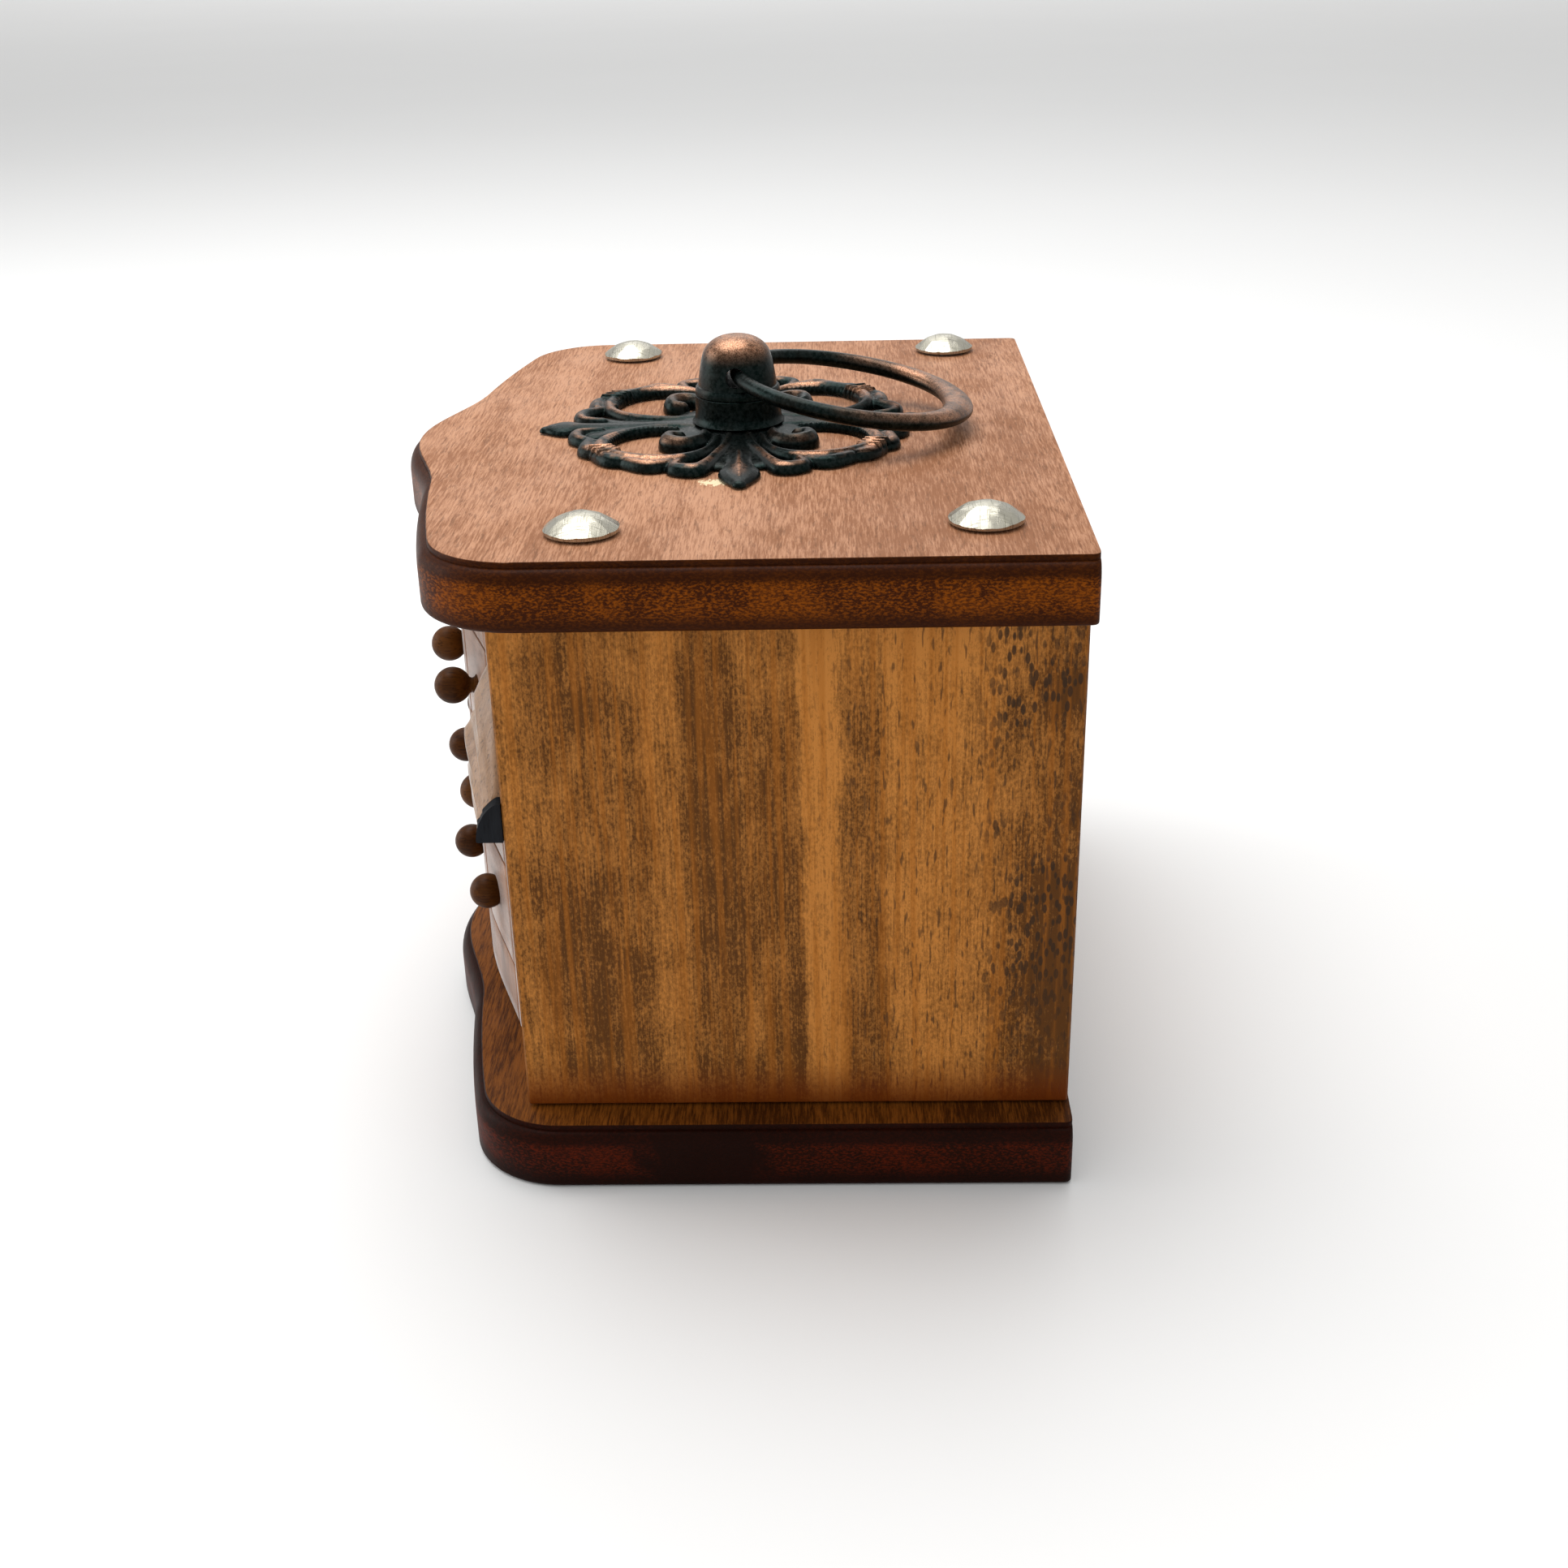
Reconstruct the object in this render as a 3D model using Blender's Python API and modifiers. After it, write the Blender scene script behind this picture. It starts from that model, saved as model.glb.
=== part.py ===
"""Small bow-fronted wooden puzzle box: three locking drawers, a hidden tray and a ring-pull lock.

Metres, +Z up. The box stands on z = 0 with its front towards -Y. X = 0 is the middle of the
front, and Y = 0 is half way between the foremost point of the boards and their back edge.
Turning the ring post a quarter-turn slides a toothed comb into notches in the three drawers.
"""
import math

import bmesh
import bpy
from mathutils import Matrix, Vector

MM = 0.001
GAP = 0.3 * MM

# Boards: the top and the base share one serpentine outline
BOARD_HALF = 64.0 * MM
BOARD_BACK = 50.8 * MM
BOARD_SHOULDER = 44.4 * MM
BOARD_LOBE = 4.8 * MM
BOARD_LOBE_HALF = 27.0 * MM
BOARD_SWEEP = 0.0021 / MM
CORNER_RADIUS = 13.0 * MM
MOULD = 1.6 * MM
BASE_THICK = 10.0 * MM
TOP_THICK = 9.4 * MM

# Carcass
BODY_HALF = 59.0 * MM
BODY_HEIGHT = 78.6 * MM
BODY_BACK = 50.5 * MM
SIDE_THICK = 8.0 * MM
BACK_THICK = 6.0 * MM
FRONT_FLAT = -30.7 * MM
BOW = 14.2 * MM
CASE_HALF = 36.4 * MM
DIVIDER_THICK = 3.0 * MM
STILE_BACK = -24.7 * MM
INNER_BACK = 24.8 * MM
INNER_BACK_THICK = 3.0 * MM

# Drawers
ROWS = (29.9 * MM, 47.9 * MM, 65.9 * MM)
ROW_NAMES = ("bottom", "middle", "top")
ROW_PITCH = 18.0 * MM
FRONT_HALF = 36.0 * MM
FRONT_HEIGHT = 17.5 * MM
FRONT_PLANE = -31.7 * MM
GROOVE_WIDTH = 1.0 * MM
GROOVE_DEPTH = 0.8 * MM
TRAY_HALF = 35.8 * MM
TRAY_BACK = 20.8 * MM
TRAY_WALL = 2.4 * MM
TRAY_FLOOR = 1.8 * MM
TRAY_BELOW = 7.6 * MM
TRAY_ABOVE = 7.1 * MM
SHELF_THICK = 2.2 * MM
SHELF_HALF = 36.1 * MM

# Knobs
KNOB_COLUMNS = (-27.0 * MM, -9.0 * MM, 9.0 * MM, 27.0 * MM)
BALL_RADIUS = 2.85 * MM
NECK_RADIUS = 1.15 * MM
PEG_RADIUS = 1.5 * MM
SEAT_FLARE = 0.6 * MM
PEG_DEPTH = 4.6 * MM
NECK_LEAST = 0.9 * MM
NECK_SUNK = 1.2 * MM
PROUD_INNER = {"bottom": 1.8 * MM, "middle": 1.1 * MM, "top": 2.2 * MM}
PROUD_OUTER = {"bottom": 1.6 * MM, "middle": 1.5 * MM, "top": 3.8 * MM}

# Scroll brackets and the hidden tray behind the right one
BRACKET_INNER = 41.6 * MM
BRACKET_OUTER = 57.4 * MM
BRACKET_TIP = 59.0 * MM
BRACKET_FOOT = 54.8 * MM
NOTCH_LOW = 54.2 * MM
NOTCH_HIGH = 77.0 * MM
NOTCH_INNER = 40.6 * MM
HIDDEN_FACE_BACK = -27.5 * MM
HIDDEN_LOW = 57.2 * MM
HIDDEN_HIGH = 74.2 * MM
HIDDEN_BACK = 12.3 * MM
HIDDEN_WALL = 1.5 * MM

# Top fittings
POST_Y = 1.5 * MM
COLLAR_RADIUS = 6.9 * MM
COLLAR_TOP = 104.0 * MM
POST_RADIUS = 6.25 * MM
POST_TOP = 113.2 * MM
EYE_HEIGHT = 107.6 * MM
EYE_RADIUS = 2.7 * MM
SPINDLE_RADIUS = 2.0 * MM
SPINDLE_END = 78.2 * MM
RING_RADIUS = 18.1 * MM
WIRE_RADIUS = 1.45 * MM
RING_DROOP = math.radians(10.0)
ESCUTCHEON_THICK = 1.2 * MM
ESCUTCHEON_X = 36.5 * MM
ESCUTCHEON_Y = 31.3 * MM
STUD_RADIUS = 5.2 * MM
STUD_HEIGHT = 2.7 * MM
STUD_PLACES = {"front_right": (52.2 * MM, -17.6 * MM), "rear_right": (50.2 * MM, 37.0 * MM),
               "front_left": (-52.8 * MM, -20.1 * MM), "rear_left": (-54.0 * MM, 37.0 * MM)}

# Lock: a crank pin under the top board drives the bar, the bar carries the comb
CRANK_RADIUS = 5.0 * MM
CRANK_PIN = 1.2 * MM
CRANK_DISC = 7.5 * MM
CRANK_LOW = 81.6 * MM
CRANK_HIGH = 84.6 * MM
PIN_TOP = 87.4 * MM
PIN_CLEAR = 0.4 * MM
NUT_RADIUS = 3.9 * MM
NUT_LOW = 78.9 * MM
CRANK_START = math.radians(-45.0)
BAR_LOW = 85.2 * MM
BAR_HIGH = 87.6 * MM
BAR_FRONT = -4.5 * MM
BAR_REAR = 10.5 * MM
BAR_END = 9.0 * MM
BAR_HEEL = -42.0 * MM
BAR_CLEAR = 0.4 * MM
KEEPER_LOW = 82.0 * MM
KEEPER_X = (-32.0 * MM, -24.0 * MM)
KEEPER_WALL = 3.1 * MM
COMB_OUTER = -49.6 * MM
COMB_INNER = -47.4 * MM
TOOTH_TIP = -38.5 * MM
TOOTH_Y = 14.8 * MM
TOOTH_WIDTH = 3.0 * MM
TOOTH_HALF = 1.5 * MM
NOTCH_Y = (12.4 * MM, 17.2 * MM)
NOTCH_HALF = 2.4 * MM

# Levels worked out from the sizes above
BODY_LOW = BASE_THICK + GAP
BODY_TOP = BASE_THICK + BODY_HEIGHT
TOP_FACE = BODY_TOP + TOP_THICK
INNER_HALF = BODY_HALF - SIDE_THICK

LIGHT_WOOD = (0.40, 0.20, 0.075)
RED_WOOD = (0.42, 0.19, 0.11)
DARK_WOOD = (0.13, 0.052, 0.032)
INNER_WOOD = (0.50, 0.33, 0.17)
BRONZE = (0.045, 0.035, 0.030)
NICKEL = (0.72, 0.68, 0.58)
STEEL = (0.45, 0.44, 0.42)
EBONY = (0.012, 0.012, 0.014)


# ---------------------------------------------------------------- helpers

def clear_scene():
    for obj in list(bpy.data.objects):
        bpy.data.objects.remove(obj, do_unlink=True)


def new_collection(name):
    collection = bpy.data.collections.new(name)
    bpy.context.scene.collection.children.link(collection)
    return collection


def paint(obj, colour, roughness=0.55, metallic=0.0):
    material = bpy.data.materials.new(obj.name + "_finish")
    material.use_nodes = True
    shader = material.node_tree.nodes["Principled BSDF"]
    shader.inputs["Base Color"].default_value = (*colour, 1.0)
    shader.inputs["Roughness"].default_value = roughness
    shader.inputs["Metallic"].default_value = metallic
    obj.data.materials.clear()
    obj.data.materials.append(material)


def link(name, data, collection=None):
    obj = bpy.data.objects.new(name, data)
    (collection or PARTS).objects.link(obj)
    if collection is CUTTERS:
        obj.hide_render = True
        obj.display_type = "WIRE"
    return obj


def box(name, low, high, collection=None, edge=0.0):
    """A rectangular block between two corners, with an optional small bevel."""
    low, high = Vector(low), Vector(high)
    mesh = bpy.data.meshes.new(name)
    bm = bmesh.new()
    bmesh.ops.create_cube(bm, size=1.0)
    bmesh.ops.scale(bm, vec=high - low, verts=bm.verts)
    bm.to_mesh(mesh)
    bm.free()
    obj = link(name, mesh, collection)
    obj.location = (low + high) / 2
    if edge:
        bevel = obj.modifiers.new("eased_edges", "BEVEL")
        bevel.width = edge
        bevel.segments = 1
        bevel.limit_method = "ANGLE"
    return obj


def cylinder(name, radius, low, high, axis="Z", sides=24, collection=None):
    """A cylinder along one axis from point low to point high."""
    low, high = Vector(low), Vector(high)
    mesh = bpy.data.meshes.new(name)
    bm = bmesh.new()
    bmesh.ops.create_cone(bm, cap_ends=True, segments=sides, radius1=radius, radius2=radius,
                          depth=(high - low).length)
    if axis == "X":
        bmesh.ops.rotate(bm, matrix=Matrix.Rotation(math.pi / 2, 3, "Y"), verts=bm.verts)
    bm.to_mesh(mesh)
    bm.free()
    obj = link(name, mesh, collection)
    obj.location = (low + high) / 2
    return obj


def turned(name, profile, steps=24, collection=None):
    """A profile of (radius, height) points, top to bottom, turned round Z."""
    mesh = bpy.data.meshes.new(name)
    bm = bmesh.new()
    points = [bm.verts.new((radius, 0.0, height)) for radius, height in profile]
    for upper, lower in zip(points, points[1:]):
        bm.edges.new((upper, lower))
    bm.to_mesh(mesh)
    bm.free()
    obj = link(name, mesh, collection)
    screw = obj.modifiers.new("turn", "SCREW")
    screw.steps = steps
    screw.render_steps = steps
    screw.use_merge_vertices = True
    screw.merge_threshold = 0.00001
    screw.use_smooth_shade = True
    return obj


def flat_outline(name, outline, low, high, holes=(), collection=None):
    """A flat outline in XY, with holes, between two heights, as a closed mesh."""
    curve = bpy.data.curves.new(name, "CURVE")
    curve.dimensions = "2D"
    curve.fill_mode = "BOTH"
    curve.extrude = (high - low) / 2
    for loop in (outline, *holes):
        spline = curve.splines.new("POLY")
        spline.points.add(len(loop) - 1)
        for point, (x, y) in zip(spline.points, loop):
            point.co = (x, y, 0.0, 1.0)
        spline.use_cyclic_u = True
    guide = link(name + "_outline", curve, CUTTERS)
    graph = bpy.context.evaluated_depsgraph_get()
    mesh = bpy.data.meshes.new_from_object(guide.evaluated_get(graph))
    bpy.data.objects.remove(guide, do_unlink=True)
    mesh.name = name
    bm = bmesh.new()
    bm.from_mesh(mesh)
    bmesh.ops.remove_doubles(bm, verts=bm.verts, dist=0.00001)
    bm.to_mesh(mesh)
    bm.free()
    obj = link(name, mesh, collection)
    obj.location.z = (low + high) / 2
    return obj


def boolean(obj, other, operation="DIFFERENCE"):
    cut = obj.modifiers.new(other.name, "BOOLEAN")
    cut.operation = operation
    cut.object = other


def cut_box(obj, low, high):
    boolean(obj, box(obj.name + "_cut", low, high, CUTTERS))


def mover(name, location, parent=None):
    """An empty on a joint's axis; what it carries keeps its world place."""
    empty = link(name, None)
    empty.empty_display_size = 5 * MM
    empty.location = location
    if parent:
        hold(parent, empty)
    return empty


def hold(parent, *children):
    bpy.context.view_layer.update()
    for child in children:
        child.parent = parent
        child.matrix_parent_inverse = parent.matrix_world.inverted()


# ---------------------------------------------------------------- outlines

def spread(start, end, count):
    return [start + (end - start) * i / (count - 1) for i in range(count)]


def board_front(x):
    """Distance of the boards' front edge ahead of Y = 0 at a place across the width."""
    lobe = 0.0
    if abs(x) < BOARD_LOBE_HALF:
        lobe = BOARD_LOBE * (1 + math.cos(math.pi * x / BOARD_LOBE_HALF)) / 2
    return BOARD_SHOULDER - BOARD_SWEEP * x * x + lobe


def board_edge(x, grow):
    """Point of the boards' front edge at x, moved outwards by grow."""
    step = 0.1 * MM
    outwards = Vector((board_front(x - step) - board_front(x + step), -2 * step)).normalized()
    return x + grow * outwards.x, -board_front(x) + grow * outwards.y


def board_outline(grow):
    """Serpentine front, rounded front corners and a straight back, larger by grow all but behind."""
    slope = math.atan(2 * BOARD_SWEEP * (BOARD_HALF - CORNER_RADIUS))
    turn_x = BOARD_HALF - CORNER_RADIUS * (1 - math.sin(slope))
    front = [board_edge(x, grow) for x in spread(-turn_x, turn_x, 37)]
    centre_x = BOARD_HALF - CORNER_RADIUS
    centre_y = -board_front(turn_x) + CORNER_RADIUS * math.cos(slope)
    radius = CORNER_RADIUS + grow
    corner = []
    for angle in spread(-math.pi / 2 + slope, 0.0, 9)[1:]:
        corner.append((centre_x + radius * math.cos(angle), centre_y + radius * math.sin(angle)))
    right = corner + [(BOARD_HALF + grow, BOARD_BACK)]
    left = [(-x, y) for x, y in reversed(right)]
    return front + right + left


def body_front(x):
    """Y of the bowed front face at a place across the width."""
    if abs(x) >= BODY_HALF:
        return FRONT_FLAT
    return FRONT_FLAT - BOW * (1 + math.cos(math.pi * x / BODY_HALF)) / 2


def bow_outline(left, right, back, grooves=()):
    """Plan of a piece whose front follows the bow, with V grooves at given places."""
    places = spread(left, right, max(3, round((right - left) / (4.0 * MM)) + 1))
    half = GROOVE_WIDTH / 2
    for groove in grooves:
        places = [x for x in places if abs(x - groove) > GROOVE_WIDTH]
        places += [groove - half, groove, groove + half]
    front = []
    for x in sorted(places):
        sunk = GROOVE_DEPTH if x in grooves else 0.0
        front.append((x, body_front(x) + sunk))
    return front + [(right, back), (left, back)]


# ---------------------------------------------------------------- boards and carcass

def moulded_board(name, low, high):
    """A board whose front and side edges step out in a quarter-round below a small fillet."""
    thick = high - low
    levels = [(0.0, 0.0), (1.5 * MM, 0.0)]
    for angle in spread(0.0, math.pi / 2, 5):
        levels.append((1.5 * MM + 2.2 * MM * (1 - math.cos(angle)), MOULD * math.sin(angle)))
    levels += [(thick - 0.7 * MM, MOULD), (thick, MOULD - 0.6 * MM)]
    mesh = bpy.data.meshes.new(name)
    bm = bmesh.new()
    rings = []
    for depth, grow in levels:
        ring = [bm.verts.new((x, y, high - depth)) for x, y in board_outline(grow)]
        rings.append(ring)
    for upper, lower in zip(rings, rings[1:]):
        for i, vert in enumerate(upper):
            j = (i + 1) % len(upper)
            bm.faces.new((vert, lower[i], lower[j], upper[j]))
    bm.faces.new(rings[0])
    bm.faces.new(list(reversed(rings[-1])))
    bmesh.ops.remove_doubles(bm, verts=bm.verts, dist=0.000001)
    bmesh.ops.recalc_face_normals(bm, faces=bm.faces)
    bm.to_mesh(mesh)
    bm.free()
    return link(name, mesh)


def make_boards():
    base = moulded_board("base_board", 0.0, BASE_THICK)
    paint(base, DARK_WOOD, 0.45)
    top = moulded_board("top_board", BODY_TOP, TOP_FACE)
    paint(top, RED_WOOD, 0.5)
    bore = cylinder("top_board_bore", SPINDLE_RADIUS + GAP, (0, POST_Y, BODY_TOP - MM),
                    (0, POST_Y, TOP_FACE + MM), collection=CUTTERS)
    boolean(top, bore)


def make_panels():
    high = BODY_TOP - GAP
    for side, word in ((1, "right"), (-1, "left")):
        faces = sorted((side * INNER_HALF, side * BODY_HALF))
        panel = box("side_panel_" + word, (faces[0], FRONT_FLAT, BODY_LOW),
                    (faces[1], BODY_BACK, high), edge=0.3 * MM)
        paint(panel, LIGHT_WOOD)
    inner = INNER_HALF - GAP
    back = box("back_panel", (-inner, BODY_BACK - BACK_THICK, BODY_LOW), (inner, BODY_BACK, high),
               edge=0.3 * MM)
    paint(back, LIGHT_WOOD)


def make_stiles():
    """Bowed posts beside the drawers, notched on their outer edge for the brackets."""
    outer = INNER_HALF - GAP
    for side, word in ((1, "right"), (-1, "left")):
        ends = sorted((side * CASE_HALF, side * outer))
        outline = bow_outline(ends[0], ends[1], STILE_BACK)
        stile = flat_outline("front_stile_" + word, outline, BODY_LOW, BODY_TOP - GAP)
        notch = sorted((side * NOTCH_INNER, side * (BODY_HALF + MM)))
        cut_box(stile, (notch[0], -60 * MM, NOTCH_LOW), (notch[1], 0.0, NOTCH_HIGH))
        paint(stile, LIGHT_WOOD)


def make_rails():
    reach = CASE_HALF - GAP
    outline = bow_outline(-reach, reach, FRONT_PLANE)
    half = FRONT_HEIGHT / 2 + 0.35 * MM
    low_rail = flat_outline("rail_bottom", outline, BODY_LOW, ROWS[0] - half)
    paint(low_rail, LIGHT_WOOD)
    high_rail = flat_outline("rail_top", outline, ROWS[-1] + half, BODY_TOP - GAP)
    paint(high_rail, LIGHT_WOOD)


def make_case():
    """Dividers, shelves and the false back that stand behind the front."""
    divider_high = ROWS[-1] + ROW_PITCH / 2 + 2.5 * MM
    for side, word in ((1, "right"), (-1, "left")):
        faces = sorted((side * CASE_HALF, side * (CASE_HALF + DIVIDER_THICK)))
        divider = box("case_divider_" + word, (faces[0], STILE_BACK + GAP, BODY_LOW),
                      (faces[1], BODY_BACK - BACK_THICK - GAP, divider_high))
        paint(divider, INNER_WOOD)
        if side < 0:
            for row in ROWS:
                cut_box(divider, (faces[0] - MM, NOTCH_Y[0], row - NOTCH_HALF),
                        (faces[1] + MM, NOTCH_Y[1], row + NOTCH_HALF))
    for number in range(4):
        centre = ROWS[0] + ROW_PITCH * (number - 0.5)
        shelf = box("drawer_shelf_%d" % (number + 1),
                    (-SHELF_HALF, FRONT_PLANE + GAP, centre - SHELF_THICK / 2),
                    (SHELF_HALF, INNER_BACK - GAP, centre + SHELF_THICK / 2))
        paint(shelf, INNER_WOOD)
    false_back = box("false_back", (-SHELF_HALF, INNER_BACK, BODY_LOW),
                     (SHELF_HALF, INNER_BACK + INNER_BACK_THICK, divider_high))
    paint(false_back, INNER_WOOD)


# ---------------------------------------------------------------- drawers

def knob_profile(neck, grow=0.0):
    """Ball, neck, seat flange and peg, from the ball's pole down to the peg's end."""
    ball = BALL_RADIUS + grow
    join = math.asin((NECK_RADIUS + grow) / ball)
    points = []
    for angle in spread(0.0, math.pi - join, 8):
        points.append((ball * math.sin(angle), ball * math.cos(angle)))
    foot = -(BALL_RADIUS + neck)
    points.append((NECK_RADIUS + grow, foot + SEAT_FLARE))
    points.append((PEG_RADIUS + grow, foot))
    points.append((PEG_RADIUS + grow, foot - PEG_DEPTH - grow))
    points.append((0.0, foot - PEG_DEPTH - grow))
    return points


def knob_piece(name, x, z, proud, grow=0.0, collection=None):
    neck = max(NECK_LEAST, proud - NECK_SUNK)
    knob = turned(name, knob_profile(neck, grow), 12, collection)
    knob.rotation_euler.x = math.pi / 2
    knob.location = (x, body_front(x) - proud, z)
    return knob


def make_drawer(row, word):
    slide = mover("drawer_%s_slide" % word, (0.0, FRONT_PLANE, row))
    grooves = [(a + b) / 2 for a, b in zip(KNOB_COLUMNS, KNOB_COLUMNS[1:])]
    outline = bow_outline(-FRONT_HALF, FRONT_HALF, FRONT_PLANE, grooves)
    front = flat_outline("drawer_front_" + word, outline, row - FRONT_HEIGHT / 2,
                         row + FRONT_HEIGHT / 2)
    paint(front, LIGHT_WOOD)
    knobs = []
    for number, x in enumerate(KNOB_COLUMNS):
        name = "knob_%s_%d" % (word, number + 1)
        proud = PROUD_INNER[word] if abs(x) < ROW_PITCH else PROUD_OUTER[word]
        knob = knob_piece(name, x, row, proud)
        paint(knob, LIGHT_WOOD, 0.4)
        knobs.append(knob)
        boolean(front, knob_piece(name + "_seat", x, row, proud, GAP, CUTTERS))
    tray = box("drawer_tray_" + word, (-TRAY_HALF, FRONT_PLANE + GAP, row - TRAY_BELOW),
               (TRAY_HALF, TRAY_BACK, row + TRAY_ABOVE))
    inside = TRAY_HALF - TRAY_WALL
    cut_box(tray, (-inside, FRONT_PLANE + GAP + TRAY_WALL, row - TRAY_BELOW + TRAY_FLOOR),
            (inside, TRAY_BACK - TRAY_WALL, row + TRAY_ABOVE + MM))
    cut_box(tray, (-TRAY_HALF - MM, NOTCH_Y[0], row - NOTCH_HALF),
            (-TRAY_HALF + TRAY_WALL + MM, NOTCH_Y[1], row + NOTCH_HALF))
    paint(tray, INNER_WOOD)
    hold(slide, front, tray, *knobs)


# ---------------------------------------------------------------- brackets and hidden tray

def bracket_section(x):
    """Height and swell of a bracket's section at a place across the front."""
    share = (x - BRACKET_INNER) / (BRACKET_TIP - BRACKET_INNER)
    height = (6.6 + 14.4 * math.cos(share * math.pi / 2) ** 0.8) * MM
    swell = (3.4 + 1.2 * math.cos(share * math.pi / 2)) * MM
    return height, swell


def bracket_loft(name, start, end, side, stations):
    """Swelling leaf with a flat foot, lofted across the bowed front that it is glued to."""
    mesh = bpy.data.meshes.new(name)
    bm = bmesh.new()
    rings = []
    for x in spread(start, end, stations):
        height, swell = bracket_section(x)
        back = body_front(x) - GAP
        ring = []
        for share in spread(0.0, 1.0, 9):
            bulge = math.sin(math.pi * (0.32 + 0.68 * share))
            y = back - 0.4 * MM - swell * bulge
            ring.append(bm.verts.new((side * x, y, BRACKET_FOOT + height * share)))
        ring.append(bm.verts.new((side * x, back, BRACKET_FOOT + height)))
        ring.append(bm.verts.new((side * x, back, BRACKET_FOOT)))
        rings.append(ring)
    for first, second in zip(rings, rings[1:]):
        for i, vert in enumerate(first):
            j = (i + 1) % len(first)
            bm.faces.new((vert, first[j], second[j], second[i]))
    bm.faces.new(rings[0])
    bm.faces.new(rings[-1])
    bmesh.ops.recalc_face_normals(bm, faces=bm.faces)
    bm.to_mesh(mesh)
    bm.free()
    return link(name, mesh)


def make_brackets():
    """Carved brackets with dark tips on flush faces; the right face fronts a hidden tray."""
    inner = NOTCH_INNER + 0.3 * MM
    outer = INNER_HALF - 0.6 * MM
    moving = []
    for side, word, title in ((1, "right", "hidden_tray_face"), (-1, "left", "false_tray_face")):
        ends = sorted((side * inner, side * outer))
        face = flat_outline(title, bow_outline(ends[0], ends[1], HIDDEN_FACE_BACK),
                            NOTCH_LOW + GAP, NOTCH_HIGH - GAP)
        paint(face, LIGHT_WOOD)
        bracket = bracket_loft("scroll_bracket_" + word, BRACKET_INNER, BRACKET_OUTER, side, 8)
        paint(bracket, LIGHT_WOOD)
        tip = bracket_loft("bracket_tip_" + word, BRACKET_OUTER + GAP, BRACKET_TIP, side, 2)
        paint(tip, EBONY, 0.5)
        if side > 0:
            moving += [face, bracket, tip]
    moving.append(make_hidden_tray(inner, outer))
    slide = mover("hidden_tray_slide", ((inner + outer) / 2, HIDDEN_FACE_BACK, HIDDEN_LOW))
    hold(slide, *moving)


def make_hidden_tray(inner, outer):
    front = HIDDEN_FACE_BACK + GAP
    tray = box("hidden_tray", (inner, front, HIDDEN_LOW), (outer, HIDDEN_BACK, HIDDEN_HIGH))
    cut_box(tray, (inner + HIDDEN_WALL, front + HIDDEN_WALL, HIDDEN_LOW + HIDDEN_WALL),
            (outer - HIDDEN_WALL, HIDDEN_BACK - HIDDEN_WALL, HIDDEN_HIGH + MM))
    paint(tray, INNER_WOOD)
    runner = box("hidden_tray_runner", (CASE_HALF + DIVIDER_THICK + GAP, STILE_BACK + GAP, NOTCH_LOW),
                 (INNER_HALF - GAP, HIDDEN_BACK + 3 * MM, HIDDEN_LOW - GAP))
    paint(runner, INNER_WOOD)
    return tray


# ---------------------------------------------------------------- top fittings

def ellipse_loop(cx, cy, rx, ry, count=14):
    loop = []
    for i in range(count):
        angle = 2 * math.pi * i / count
        loop.append((cx + rx * math.cos(angle), cy + ry * math.sin(angle)))
    return loop


def escutcheon_edge(count=96):
    """Four pointed arms with a scalloped lobe on each side of every arm."""
    loop = []
    for i in range(count):
        angle = 2 * math.pi * i / count
        arm = abs(math.cos(2 * angle)) ** 6
        if math.cos(2 * angle) < 0:
            arm *= 0.98
        lobes = 0.74 + 0.035 * math.cos(8 * angle + math.pi) + 0.03 * math.cos(16 * angle)
        reach = lobes + (1.0 - lobes) * arm
        loop.append((ESCUTCHEON_X * reach * math.cos(angle),
                     POST_Y + ESCUTCHEON_Y * reach * math.sin(angle)))
    return loop


def make_escutcheon():
    holes = [ellipse_loop(0.0, POST_Y, SPINDLE_RADIUS + GAP, SPINDLE_RADIUS + GAP, 20)]
    for quarter in range(4):
        angle = math.pi / 4 + quarter * math.pi / 2
        x = 0.50 * ESCUTCHEON_X * math.cos(angle)
        y = POST_Y + 0.50 * ESCUTCHEON_Y * math.sin(angle)
        holes.append(ellipse_loop(x, y, 5.6 * MM, 4.4 * MM))
    plate = flat_outline("escutcheon", escutcheon_edge(), TOP_FACE + GAP,
                         TOP_FACE + GAP + ESCUTCHEON_THICK, holes)
    paint(plate, BRONZE, 0.45, 0.9)


def make_studs():
    """Domed upholstery nails near the corners, not quite square to one another."""
    for word, (x, y) in STUD_PLACES.items():
        profile = []
        for angle in spread(0.0, math.pi / 2, 5):
            profile.append((STUD_RADIUS * math.sin(angle), STUD_HEIGHT * math.cos(angle)))
        profile[-1] = (STUD_RADIUS, 0.35 * MM)
        profile += [(STUD_RADIUS - 0.2 * MM, 0.0), (0.0, 0.0)]
        stud = turned("stud_" + word, profile, 16)
        stud.location = (x, y, TOP_FACE + GAP)
        paint(stud, NICKEL, 0.35, 0.9)


def post_profile():
    dome_centre = POST_TOP - POST_RADIUS
    points = []
    for angle in spread(0.0, math.pi / 2, 6):
        points.append((POST_RADIUS * math.sin(angle), dome_centre + POST_RADIUS * math.cos(angle)))
    points += [(POST_RADIUS, COLLAR_TOP + GAP), (SPINDLE_RADIUS, COLLAR_TOP + GAP),
               (SPINDLE_RADIUS, SPINDLE_END), (0.0, SPINDLE_END)]
    return points


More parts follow.
